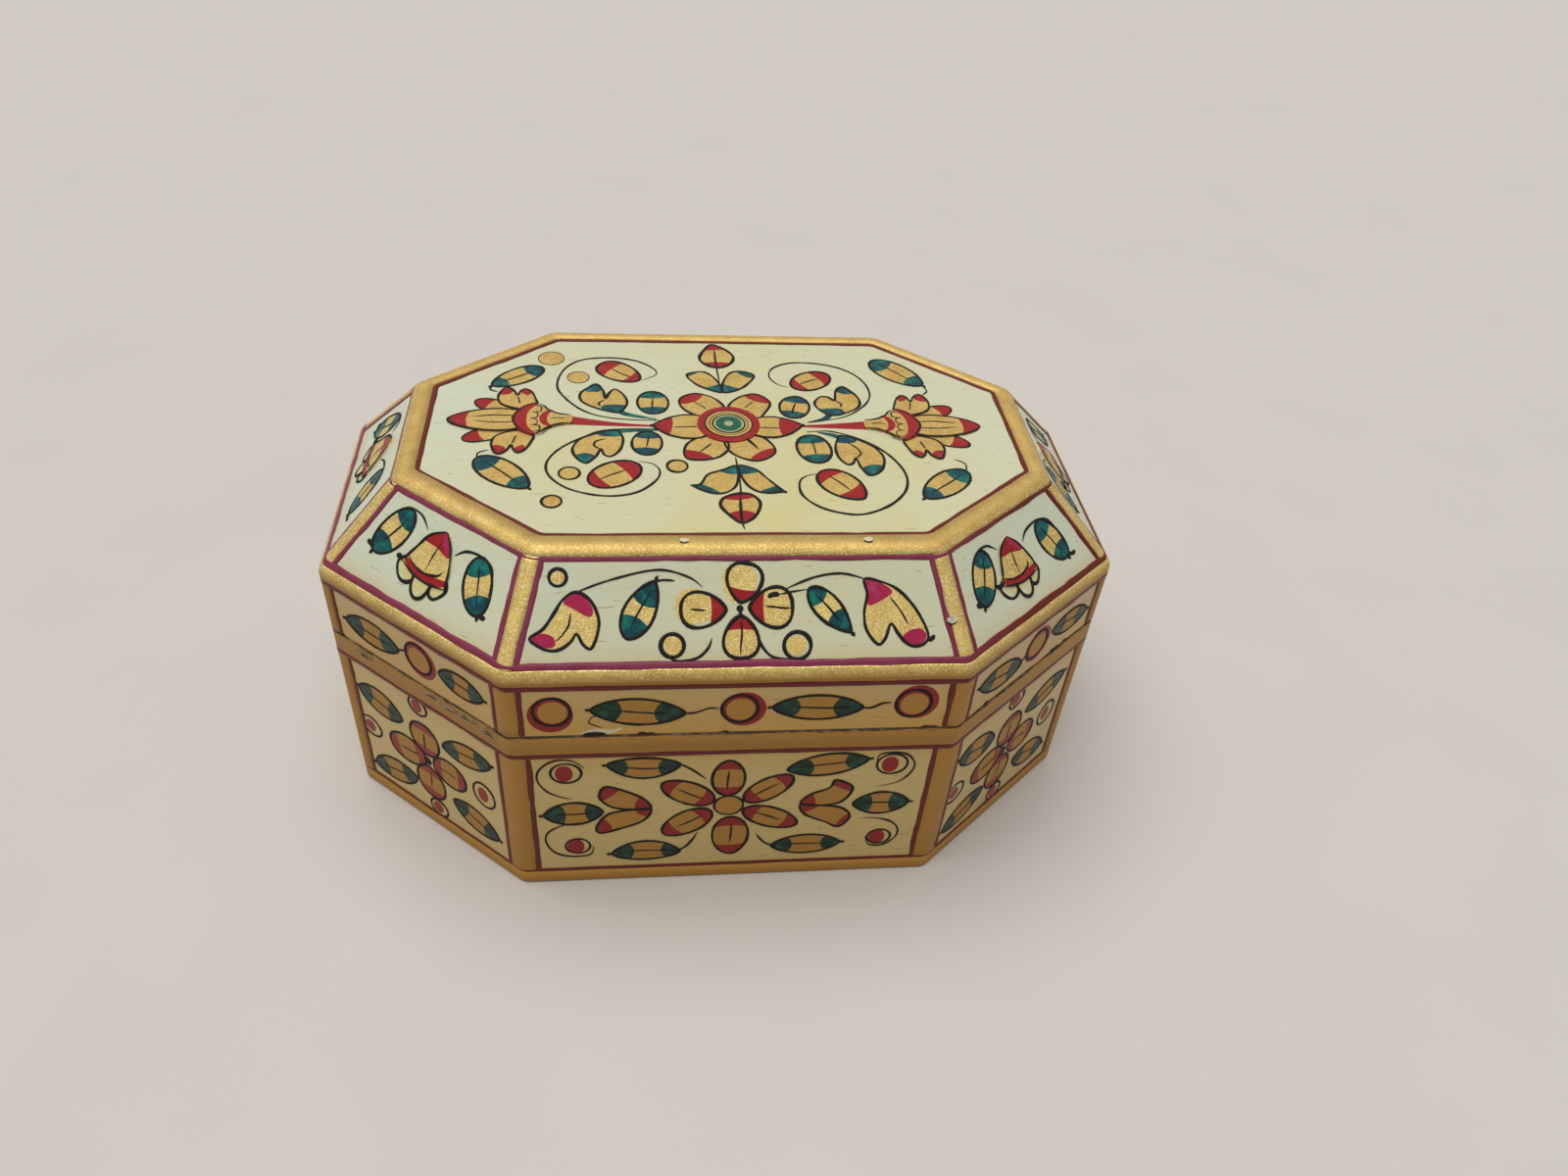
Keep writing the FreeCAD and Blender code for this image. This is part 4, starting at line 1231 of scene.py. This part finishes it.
def paint_front_base(hand):
    """Six-petalled flower, a two-petalled heart and a leaf either side, long leaves and corner spirals."""
    for base, tip, half_width in (((-0.7, 17.1), (-0.7, 23.9), 2.1), ((-0.1, 12.7), (0.0, 4.8), 2.4),
                                  ((-2.5, 15.9), (-9.1, 19.8), 2.0), ((1.6, 15.9), (7.5, 20.6), 1.9),
                                  ((-2.8, 14.1), (-8.9, 9.6), 2.1), ((1.5, 14.1), (8.7, 10.7), 1.9)):
        bud(hand, base, tip, half_width, (0.5, 0.55), (0.27, 0.28))
    hand.disc("gold", (-0.5, 15.1), 1.85, coat=1)
    hand.hoop((-0.5, 15.1), 1.9, 0.8)
    for points, tip, foot in (
            (((-10.5, 15), (-11.5, 17), (-14, 18.7), (-16.2, 19.5), (-17, 17.5), (-15.5, 15.5), (-13, 14.9)),
             (2.2, 4.4, 0.2), (6.2, 1.2, 0.3)),
            (((-10.5, 14.8), (-13, 14.8), (-16, 14), (-17.5, 11.5), (-17, 10.2), (-14.5, 11), (-11.5, 12.5)),
             (2.4, 4.6, 0.3), (6.4, 0.9, 0.4)),
            (((9, 14.9), (10, 16.7), (12.5, 18), (13.2, 19.5), (15.5, 18), (14.5, 15.3), (12, 14.5)),
             (2.3, 4.4, 0.1), (6.3, 1.1, 0.2)),
            (((9, 14.7), (9.7, 12.7), (12.5, 11), (14.5, 9.9), (15.8, 12), (14.5, 13.8), (12, 14.4)),
             (2.6, 4.4, 0.2), (6.2, 0.9, 0.2))):
        paint_dipped(hand, points, "red", (tip, foot))
    leaf(hand, (-16.6, 14.6), (-24.1, 14.1), 2.2, "green", (0.24, 0.3))
    leaf(hand, (15.9, 14.6), (23.4, 14.7), 2.2, "green", (0.28, 0.3))
    leaf(hand, (-6.8, 23.4), (-15.9, 23.6), 1.9, "green", (0.24, 0.22), bend=0.6)
    leaf(hand, (6.7, 21.8), (17.0, 23.5), 2.0, "green", (0.26, 0.22))
    leaf(hand, (-6.6, 5.8), (-15.7, 5.6), 2.0, "green", (0.22, 0.26), bend=-0.5)
    leaf(hand, (5.6, 6.2), (15.0, 6.5), 2.0, "green", (0.24, 0.22))
    hand.curve([(-7.4, 23.7), (-6.0, 22.9), (-4.6, 21.6), (-3.5, 20.4)], 0.8)
    hand.curve([(-7.2, 5.8), (-6.0, 6.6), (-5.0, 8.2), (-4.4, 9.8)], 0.9)
    hand.curve([(6.2, 6.1), (4.8, 6.8), (3.9, 8.0), (3.4, 9.0)], 0.8)
    paint_spiral(hand, (-21.2, 22.2), 1.9, [(-18.7, 23.2), (-20.1, 24.6), (-22.3, 24.7), (-24.1, 23.2),
                                            (-24.5, 21.1), (-23.4, 18.9), (-21.6, 17.7), (-20.3, 17.3)])
    paint_spiral(hand, (19.9, 22.3), 2.0, [(18.1, 23.0), (18.4, 24.3), (20.2, 24.6), (22.0, 24.1),
                                           (23.1, 22.3), (22.7, 20.4), (21.3, 18.8), (18.8, 18.0)])
    paint_spiral(hand, (-20.3, 7.5), 1.6, [(-18.0, 7.5), (-18.5, 5.7), (-20.9, 5.4), (-23.0, 6.3),
                                           (-24.1, 8.6), (-23.7, 10.7), (-21.6, 12.1), (-19.1, 12.5)])
    paint_spiral(hand, (20.0, 7.3), 1.6, [(18.4, 7.5), (19.1, 5.7), (20.9, 5.5), (22.5, 7.0), (22.7, 8.9),
                                          (21.6, 10.5), (19.5, 11.4), (17.0, 11.5)])


def paint_corner_base(hand):
    """Four-petalled flower, four leaves and four ringed red dots."""
    for base, tip, half_width in (((-0.6, 14.9), (-0.5, 20.9), 2.6), ((-1.0, 14.1), (-7.8, 12.8), 2.6),
                                  ((0.4, 13.8), (6.3, 13.7), 2.6), ((-0.6, 12.5), (-0.9, 6.1), 2.6)):
        bud(hand, base, tip, half_width, (0.5, 0.45), (0.28, 0.28))
    hand.disc("ink", (-0.7, 13.6), 0.7, coat=2)
    for base, tip, half_width in (((-4.4, 19.0), (-12.4, 20.5), 2.4), ((2.9, 19.0), (11.6, 21.3), 2.0),
                                  ((-3.6, 8.0), (-12.4, 5.2), 2.2), ((3.3, 8.5), (11.4, 6.1), 2.3)):
        leaf(hand, base, tip, half_width, "green", (0.26, 0.26))
    dots = (((-1.0, 24.0), 1.6, 0.95), ((-11.7, 13.2), 1.9, 0.95), ((9.4, 14.1), 1.9, 1.2),
            ((-0.2, 4.3), 1.6, 1.0))
    for dot, radius, aspect in dots:
        hand.disc("red", dot, 0.9, aspect=1.25 * aspect)
        hand.hoop((dot[0] + 0.2, dot[1]), radius, 0.9, aspect=aspect)


LONG_SIDE = (paint_front_slope, paint_front_skirt, paint_front_base)
PLAIN_CORNER = (paint_bell_slope, paint_corner_skirt, paint_corner_base)
SLANTED_CORNER = (paint_small_bell_slope, paint_slanted_skirt, paint_corner_base)
PAINTERS = {
    "front": LONG_SIDE,
    "back": LONG_SIDE,
    "front_right": SLANTED_CORNER,
    "right": PLAIN_CORNER,
    "back_right": SLANTED_CORNER,
    "back_left": PLAIN_CORNER,
    "left": SLANTED_CORNER,
    "front_left": PLAIN_CORNER,
}
# The other sides repeat these with a drift of the hand
PATTERN_SIDES = ("front", "front_left", "front_right")
SEED_STRIDE = 11.0


def gather_marks(brush):
    """Paint every panel and return the marks of each body."""
    marks = {LID: Marks(), BASE: Marks()}
    paint_top(Hand(top_panel(), marks[LID], brush))
    for side, name in enumerate(SIDES):
        drift = 0.0 if name in PATTERN_SIDES else brush.drift / MM
        for panel, painter in zip(side_panels(side), PAINTERS[name]):
            painter(Hand(panel, marks[panel.body], brush, drift, seed=SEED_STRIDE * side))
    return marks


# Ruled lines, wear and painted shade

LINE_LIFT = 0.05
LINE_CUT = 0.11
LINE_STRAY = 0.1
LINE_RELIEF = 0.24
LINE_RAGGED = 0.2
LINE_THINNEST = 0.1
LINE_STEPS = 16
LINE_TAPERS = (0.8, 0.8)


def ring_line(place, normal, width, seed, ragged=LINE_RAGGED):
    """A ruled line round the box at an (inset, height) on a surface with a normal, a little unsteady."""
    radii = corner_radii(LINE_CUT)
    inset, height = (value + LINE_LIFT * part for value, part in zip(place, normal))
    centre = ring(inset, height, radii)
    above = ring(inset + normal[0], height + normal[1], radii)
    beside = ring(inset + normal[1], height - normal[0], radii)
    points = [p + (q - p) * LINE_STRAY * waver(p, seed) for p, q in zip(centre, beside)]
    half_widths = [width / 2 * max(LINE_THINNEST, 1 + 2 * ragged * waver(p * 2, seed + 5)) for p in centre]
    return Stroke(points, half_widths, [(q - p).normalized() for p, q in zip(centre, above)], True)


def gather_lines(gilding, brush):
    """Rule the lines beside the gold on both bodies and return the marks of each body."""
    marks = {LID: Marks(), BASE: Marks()}
    sizes = {name: getattr(gilding, name) / MM for name in gilding.__annotations__}
    wide, thin = sizes["ruled"], sizes["upright"]
    slope_low = sizes["slope_foot"] + wide / 2
    slope_high = SLANT - sizes["slope_band"] - thin / 2
    skirt_high = FORM.ridge - FORM.seam - sizes["ridge_band"] - wide / 2
    base_low = sizes["foot_band"] + thin / 2
    base_high = FORM.seam - sizes["seam_band"] - wide / 2
    rings = ((LID, (FORM.slope_run + sizes["top_band"] + thin / 2, FORM.top), TOP_NORMAL, thin),
             (LID, on_slope(slope_high), SLOPE_NORMAL, thin),
             (LID, on_slope(slope_low), SLOPE_NORMAL, wide),
             (LID, (0.0, FORM.seam + skirt_high), WALL_NORMAL, wide),
             (BASE, (0.0, base_high), WALL_NORMAL, wide),
             (BASE, (0.0, base_low), WALL_NORMAL, thin))
    for seed, (body, place, normal, width) in enumerate(rings):
        marks[body].strokes["line"].append(ring_line(place, normal, width, seed))
    uprights = ((slope_low, slope_high, sizes["hip_band"]),
                (SEAM_ROUND, skirt_high, sizes["skirt_post"]),
                (base_low, base_high, sizes["base_post"]))
    for side in range(SIDE_COUNT):
        for panel, (low, high, post) in zip(side_panels(side), uprights):
            hand = Hand(panel, marks[panel.body], brush, LINE_STRAY, seed=side)
            heights = steps_between(low, high, LINE_STEPS)
            for end, inward in ((0, 1), (1, -1)):
                places = [(panel.edge(end, v) + inward * (post + thin / 2), v) for v in heights]
                hand.line(places, thin * MM / brush.ink, "line", tapers=LINE_TAPERS)
    return marks


CHIP_RADIUS = 0.6
CHIP_ASPECT = 0.8
CHIP_SHADE = 0.4
CHIP_STRAYS = (0.5, 0.4)
CHIP_RATE = 3
CHIP_SEEDS = (51.0, 57.0)
# Points on a chip's lower side, where the shade of its broken edge is painted
SHADED_RIM = slice(12, 22)
WORN_FRONT = 0.74
WORN_ELSEWHERE = 0.62
SCUFF_SEED = 41.0
SCUFF_STRIDE = 13.0
SCUFF_RATE = 2
SCUFF_HEIGHT = SEAM_ROUND * 0.8
# Sizes of the dark line painted along the seam as the shade in the gap under the lid
SEAM_SHADE_WIDTH = 0.24
SEAM_SHADE_RAGGED = 0.9
SEAM_SHADE_DEPTH = SEAM_ROUND * 0.05
SEAM_SHADE_SEED = 61.0


def chip(hand, centre):
    """A bare spot where the gold has chipped off, with a dark edge painted on its lower side as the shade of
    the broken paint.
    """
    rim = []
    for u, v in oval(centre, CHIP_RADIUS, CHIP_ASPECT):
        place = (CHIP_RATE * u, CHIP_RATE * v)
        rim.append([value + stray * CHIP_RADIUS * waver(place, seed)
                    for value, stray, seed in zip((u, v), CHIP_STRAYS, CHIP_SEEDS)])
    hand.fill("filler", rim)
    # Painted shade along the lower side of the chip
    hand.line(rim[SHADED_RIM], CHIP_SHADE)


def wear_seam(marks, brush, side, worn):
    """Short dark scuffs along the lower edge of one side of the lid, more of them where it is worn."""
    panel = side_panels(side)[1]
    hand = Hand(panel, marks[LID], brush, seed=side)
    left, right = panel.edge(0, 0.0), panel.edge(1, 0.0)
    for u in steps_between(left + 1, right - 1, int(right - left)):
        rub = waver((u * SCUFF_RATE, side * SCUFF_STRIDE), SCUFF_SEED)
        if rub > 1 - worn:
            v = SCUFF_HEIGHT + 0.1 * rub
            hand.curve([(u - 0.6, v), (u, v + 0.15 * rub), (u + 0.5, v - 0.05)], 0.2 + 0.9 * rub)


def gather_wear(brush):
    """Chips on the gold, scuffs along the seam, smears beside it and a dark line painted along the seam as
    the shade under the lid; the marks of each body.
    """
    marks = {LID: Marks(), BASE: Marks()}
    top = Hand(top_panel(), marks[LID], brush)
    slope, skirt, _ = (Hand(panel, marks[panel.body], brush) for panel in side_panels(FRONT))
    for hand, centre in ((top, (-6.5, -23.9)), (top, (15.4, -23.9)), (slope, (25.2, 5.9))):
        hand.layer = 2
        chip(hand, centre)
    skirt.ribbon("filler", [(-18.7, 0.6), (-17.0, 1.0), (-15.3, 0.8), (-13.9, 1.4)], (0.3, 0.7, 0.6, 0.2))
    skirt.curve([(-18.6, 0.3), (-17.2, 0.55), (-15.8, 0.4)], 1.6)
    skirt.curve([(-16.2, 1.5), (-17.8, 2.4), (-17.4, 3.4), (-16.6, 3.6)], 0.4)
    corner = Hand(side_panels(FRONT_LEFT)[2], marks[BASE], brush)
    corner.layer = 2
    smears = ((-9.5, 28.0, 1.6), (2.4, 28.3, 1.8), (5.6, 27.9, 1.5), (8.4, 28.2, 2.0), (12.2, 27.9, 1.6))
    for u, v, reach in smears:
        corner.ribbon("dust", [(u - reach, v - 0.2), (u, v + 0.15), (u + reach, v)], (0.15, 0.45, 0.1))
        corner.curve([(u - 0.4 * reach, v - 0.3), (u + 0.2 * reach, v - 0.1),
                      (u + 0.6 * reach, v - 0.25)], 0.5)
    for side in range(SIDE_COUNT):
        wear_seam(marks, brush, side, WORN_FRONT if side == FRONT else WORN_ELSEWHERE)
    # A dark line painted along the top edge of the base, as the shade in the gap under the lid
    edge = (SEAM_SHADE_DEPTH, FORM.seam - SEAM_SHADE_DEPTH)
    shade_facing = Vector((-1.0, 1.0)).normalized()
    marks[BASE].strokes["grime"].append(ring_line(edge, shade_facing, SEAM_SHADE_WIDTH, SEAM_SHADE_SEED, SEAM_SHADE_RAGGED))
    return marks


# Strokes

def brush_tree():
    """Geometry Nodes that sweep each stroke's path into a low ridge of paint."""
    tree = bpy.data.node_groups.new("brush_stroke", "GeometryNodeTree")
    face = tree.interface
    face.new_socket("Geometry", in_out="INPUT", socket_type="NodeSocketGeometry")
    for name, kind, default in (("Relief", "NodeSocketFloat", 0.5), ("Sides", "NodeSocketInt", 8),
                                ("Paint", "NodeSocketMaterial", None)):
        socket = face.new_socket(name, in_out="INPUT", socket_type=kind)
        if default is not None:
            socket.default_value = default
    face.new_socket("Geometry", in_out="OUTPUT", socket_type="NodeSocketGeometry")
    given = add(tree, "NodeGroupInput").outputs
    facing, half_width = (add(tree, "GeometryNodeInputNamedAttribute", {"Name": name}, data_type=kind)
                          for name, kind in (("facing", "FLOAT_VECTOR"), ("half_width", "FLOAT")))
    path = add(tree, "GeometryNodeMeshToCurve", {"Mesh": given["Geometry"]})
    turned = add(tree, "GeometryNodeSetCurveNormal", {"Curve": path, "Normal": facing}, mode="FREE")
    circle = add(tree, "GeometryNodeCurvePrimitiveCircle", {"Resolution": given["Sides"], "Radius": 1.0})
    flat = add(tree, "ShaderNodeCombineXYZ", {"X": given["Relief"], "Y": 1.0, "Z": 1.0})
    profile = add(tree, "GeometryNodeTransform", {"Geometry": circle, "Scale": flat})
    swept = add(tree, "GeometryNodeCurveToMesh", {"Curve": turned, "Profile Curve": profile,
                                                  "Scale": half_width, "Fill Caps": True})
    rounded = add(tree, "GeometryNodeSetShadeSmooth", {"Geometry": swept})
    whole = add(tree, "GeometryNodeRealizeInstances", {"Geometry": rounded})
    painted = add(tree, "GeometryNodeSetMaterial", {"Geometry": whole, "Material": given["Paint"]})
    add(tree, "NodeGroupOutput", {"Geometry": painted})
    return tree


def put_strokes(name, body, strokes, material, relief_share):
    """Make strokes of one paint into a mesh piece with the brush tree."""
    mesh = bpy.data.meshes.new(f"{name}_paths")
    points, edges, half_widths, facings = [], [], [], []
    for stroke in strokes:
        first = len(points)
        count = len(stroke.points)
        points += [point * MM for point in stroke.points]
        half_widths += [width * MM for width in stroke.half_widths]
        facings += [part for facing in stroke.facings for part in facing]
        edges += [(first + i, first + i + 1) for i in range(count - 1)]
        if stroke.closed:
            edges.append((first + count - 1, first))
    mesh.from_pydata(points, edges, [])
    mesh.attributes.new("half_width", "FLOAT", "POINT").data.foreach_set("value", half_widths)
    mesh.attributes.new("facing", "FLOAT_VECTOR", "POINT").data.foreach_set("vector", facings)
    paths = bpy.data.objects.new(f"{name}_paths", mesh)
    bpy.context.scene.collection.objects.link(paths)
    modifier = paths.modifiers.new("brush_stroke", "NODES")
    tree = bpy.data.node_groups.get("brush_stroke") or brush_tree()
    modifier.node_group = tree
    values = {"Relief": relief_share, "Paint": material}
    for item in tree.interface.items_tree:
        if item.in_out == "INPUT" and item.name in values:
            modifier[item.identifier] = values[item.name]
    depsgraph = bpy.context.evaluated_depsgraph_get()
    finished = bpy.data.meshes.new_from_object(paths.evaluated_get(depsgraph))
    bpy.data.objects.remove(paths)
    bpy.data.meshes.remove(mesh)
    put_piece(name, body, finished)


# Operators

def side_turn(side):
    """Angle about Z of the direction in which a side runs."""
    corners = octagon(0.0, 0.0)
    start, end = corners[side], corners[(side + 1) % SIDE_COUNT]
    return math.atan2(end.y - start.y, end.x - start.x) % math.pi


def finish_boards(prefixes, plain_nodes, make, colours):
    """Give the boards of each side a material whose grain runs along them."""
    made = {}
    boards = [(f"{prefix}_{name}", side_turn(side)) for prefix in prefixes for side, name in enumerate(SIDES)]
    for node, turn in boards + [(node, 0.0) for node in plain_nodes]:
        key = round(turn, 3)
        if key not in made:
            made[key] = make(colours, turn)
        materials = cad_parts[node].data.materials
        materials.clear()
        materials.append(made[key])


class BOX_OT_clad_bone(bpy.types.Operator):
    """Finish the bone panels of the base and lid"""
    bl_idname = "trinket_box.clad_bone"
    bl_label = "Bone Panels"

    def execute(self, context):
        finish_boards(("base_panel", "lid_skirt_panel", "lid_bevel_panel"), ("lid_top_panel",), polished_bone,
                      context.scene.box_colours)
        return {"FINISHED"}


class BOX_OT_finish_wood(bpy.types.Operator):
    """Finish the wooden carcass, the lip and the lid board"""
    bl_idname = "trinket_box.finish_wood"
    bl_label = "Wooden Carcass"

    def execute(self, context):
        finish_boards(("base_wall", "lip_strip", "lid_skirt_board"), ("base_floor", "lid_board"), oiled_wood,
                      context.scene.box_colours)
        return {"FINISHED"}


class BOX_OT_gild_edges(bpy.types.Operator):
    """Lay gold paint along the ridges, hips, corners, seam and foot"""
    bl_idname = "trinket_box.gild_edges"
    bl_label = "Gilded Edges"

    def execute(self, context):
        material = gold_paint(context.scene.box_colours)
        for body, gild in ((LID, gild_lid), (BASE, gild_base)):
            film = gild(context.scene.box_gilding)
            put_mesh(f"{body}_gilding", body, film.points, film.faces, material, smooth_shade=True)
        return {"FINISHED"}


class BOX_OT_rule_lines(bpy.types.Operator):
    """Rule the red lines beside the gold"""
    bl_idname = "trinket_box.rule_lines"
    bl_label = "Ruled Lines"

    def execute(self, context):
        material = ruled_line_paint(context.scene.box_colours)
        for body, marks in gather_lines(context.scene.box_gilding, context.scene.box_brush).items():
            put_strokes(f"{body}_ruled_lines", body, marks.strokes["line"], material, LINE_RELIEF)
        return {"FINISHED"}


def put_marks(suffix, marks, materials):
    """Make the marks of each body into mesh pieces, one for each paint and way of painting."""
    for body, kept in marks.items():
        for paint, film in kept.films.items():
            put_mesh(f"{body}_{paint}_{suffix}", body, film.points, film.faces, materials[paint])
        for paint, strokes in kept.strokes.items():
            put_strokes(f"{body}_{paint}_{suffix}_lines", body, strokes, materials[paint], INK_RELIEF)


class BOX_OT_paint_flowers(bpy.types.Operator):
    """Paint the petals, leaves and dots of every panel and draw their outlines"""
    bl_idname = "trinket_box.paint_flowers"
    bl_label = "Painted Flowers"

    def execute(self, context):
        scene = context.scene
        put_marks("flowers", gather_marks(scene.box_brush), paint_materials(scene.box_colours))
        return {"FINISHED"}


class BOX_OT_wear_paint(bpy.types.Operator):
    """Chip the gold, scuff the lower edge of the lid, smear dust along the seam and paint shade into the seam
    """
    bl_idname = "trinket_box.wear_paint"
    bl_label = "Worn Paint"

    def execute(self, context):
        scene = context.scene
        put_marks("wear", gather_wear(scene.box_brush), paint_materials(scene.box_colours))
        return {"FINISHED"}


# Stage

# The camera was fitted to the corners of the box in the photograph
CAMERA_PLACE = Vector((-11.84, -131.22, 136.57)) * MM
CAMERA_YAW = math.radians(9.34)
CAMERA_PITCH = math.radians(40.8)
CAMERA_ROLL = math.radians(5.58)
FOCAL_PIXELS = 1201.1
IMAGE_WIDTH = 1600
SENSOR_WIDTH = 36.0
CLIP_START = 10 * MM
LIGHT_TOWARDS = (0.17, -0.02, -1.0)
FLOOR_REACH = 2.0
PAPER_MOTTLE = 0.94


def place_camera():
    """Stand the camera where the photograph was taken from."""
    data = bpy.data.cameras.new("photo_view")
    data.sensor_width = SENSOR_WIDTH
    data.lens = FOCAL_PIXELS / IMAGE_WIDTH * SENSOR_WIDTH
    data.clip_start = CLIP_START
    camera = bpy.data.objects.new("photo_view", data)
    forward = Vector((math.sin(CAMERA_YAW) * math.cos(CAMERA_PITCH),
                      math.cos(CAMERA_YAW) * math.cos(CAMERA_PITCH), -math.sin(CAMERA_PITCH)))
    right = Vector((math.cos(CAMERA_YAW), -math.sin(CAMERA_YAW), 0))
    up = right.cross(forward)
    rolled = right * math.cos(CAMERA_ROLL) + up * math.sin(CAMERA_ROLL)
    raised = up * math.cos(CAMERA_ROLL) - right * math.sin(CAMERA_ROLL)
    axes = Matrix((rolled, raised, -forward)).transposed()
    camera.matrix_world = Matrix.Translation(CAMERA_PLACE) @ axes.to_4x4()
    bpy.context.scene.collection.objects.link(camera)
    bpy.context.scene.camera = camera


def place_light(name, towards, strength, spread):
    """A broad, soft and even light from far off that shines along a direction."""
    data = bpy.data.lights.new(name, "SUN")
    data.energy = strength
    data.angle = spread
    light = bpy.data.objects.new(name, data)
    light.rotation_euler = Vector(towards).to_track_quat("-Z", "Y").to_euler()
    bpy.context.scene.collection.objects.link(light)


def plain_paper(floor_colour):
    """Matt pale paper: almost even, with a faint mottle."""
    material, tree, shader = start_material("matt_pale_paper", {"Roughness": 0.9, "IOR": 1.4})
    mottle = pattern(tree, 30.0, detail=2.0)
    darker = tuple(channel * PAPER_MOTTLE for channel in floor_colour)
    mottled = add(tree, MIX, {"Factor_Float": mottle, "A_Color": floor_colour, "B_Color": darker},
                  data_type="RGBA")
    feed(tree, shader, {"Base Color": mottled})
    return material


def pale_world(floor_colour, fill):
    """Even light from all round, seen by the camera and by reflections as the pale background."""
    world = bpy.data.worlds.new("pale_surround")
    world.use_nodes = True
    tree = world.node_tree
    tree.nodes.clear()
    rays = add(tree, "ShaderNodeLightPath").outputs
    mirrored = add(tree, MATH, (rays["Is Glossy Ray"], rays["Is Transmission Ray"]), **GREATER)
    seen = add(tree, MATH, (rays["Is Camera Ray"], mirrored), **GREATER)
    light = add(tree, "ShaderNodeBackground", {"Color": (1.0, 1.0, 1.0), "Strength": fill})
    backdrop = add(tree, "ShaderNodeBackground", {"Color": floor_colour, "Strength": 1.0})
    mixed = add(tree, "ShaderNodeMixShader", (seen, light, backdrop))
    add(tree, "ShaderNodeOutputWorld", {"Surface": mixed})
    bpy.context.scene.world = world


class BOX_OT_set_stage(bpy.types.Operator):
    """Set the pale floor, the soft light and the camera"""
    bl_idname = "trinket_box.set_stage"
    bl_label = "Stage"

    def execute(self, context):
        stage = context.scene.box_stage
        reach = FLOOR_REACH
        corners = [(-reach, -reach, 0), (reach, -reach, 0), (reach, reach, 0), (-reach, reach, 0)]
        mesh = bpy.data.meshes.new("floor")
        mesh.from_pydata(corners, [], [(0, 1, 2, 3)])
        mesh.materials.append(plain_paper(stage.floor))
        floor = bpy.data.objects.new("floor", mesh)
        context.scene.collection.objects.link(floor)
        place_light("overhead_light", LIGHT_TOWARDS, stage.key, stage.key_spread)
        pale_world(stage.floor, stage.fill)
        place_camera()
        context.scene.view_settings.view_transform = "Standard"
        return {"FINISHED"}


STEPS = (BOX_OT_clad_bone, BOX_OT_finish_wood, BOX_OT_gild_edges, BOX_OT_rule_lines, BOX_OT_paint_flowers,
         BOX_OT_wear_paint, BOX_OT_set_stage)
GROUPS = {"box_gilding": BOX_PG_gilding, "box_brush": BOX_PG_brush, "box_colours": BOX_PG_colours,
          "box_stage": BOX_PG_stage}


class BOX_PT_sidebar(bpy.types.Panel):
    """Steps and settings of the painted box"""
    bl_idname = "BOX_PT_sidebar"
    bl_label = "Painted Trinket Box"
    bl_space_type = "VIEW_3D"
    bl_region_type = "UI"
    bl_category = "Trinket Box"

    def draw(self, context):
        for step in STEPS:
            self.layout.operator(step.bl_idname)
        for name, group in GROUPS.items():
            column = self.layout.column()
            column.label(text=group.__doc__)
            for setting in group.__annotations__:
                column.prop(getattr(context.scene, name), setting)


def register():
    """Add the settings, the steps and the sidebar."""
    for group in GROUPS.values():
        bpy.utils.register_class(group)
    for name, group in GROUPS.items():
        setattr(bpy.types.Scene, name, bpy.props.PointerProperty(type=group))
    for made in (*STEPS, BOX_PT_sidebar):
        bpy.utils.register_class(made)


def unregister():
    """Take the sidebar, the steps and the settings away again."""
    for made in (BOX_PT_sidebar, *reversed(STEPS)):
        bpy.utils.unregister_class(made)
    for name, group in GROUPS.items():
        delattr(bpy.types.Scene, name)
        bpy.utils.unregister_class(group)


def main():
    """Finish, gild and paint the box and set the stage."""
    register()
    bpy.ops.trinket_box.clad_bone()
    bpy.ops.trinket_box.finish_wood()
    bpy.ops.trinket_box.gild_edges()
    bpy.ops.trinket_box.rule_lines()
    bpy.ops.trinket_box.paint_flowers()
    bpy.ops.trinket_box.wear_paint()
    bpy.ops.trinket_box.set_stage()


if __name__ == "__main__":
    main()
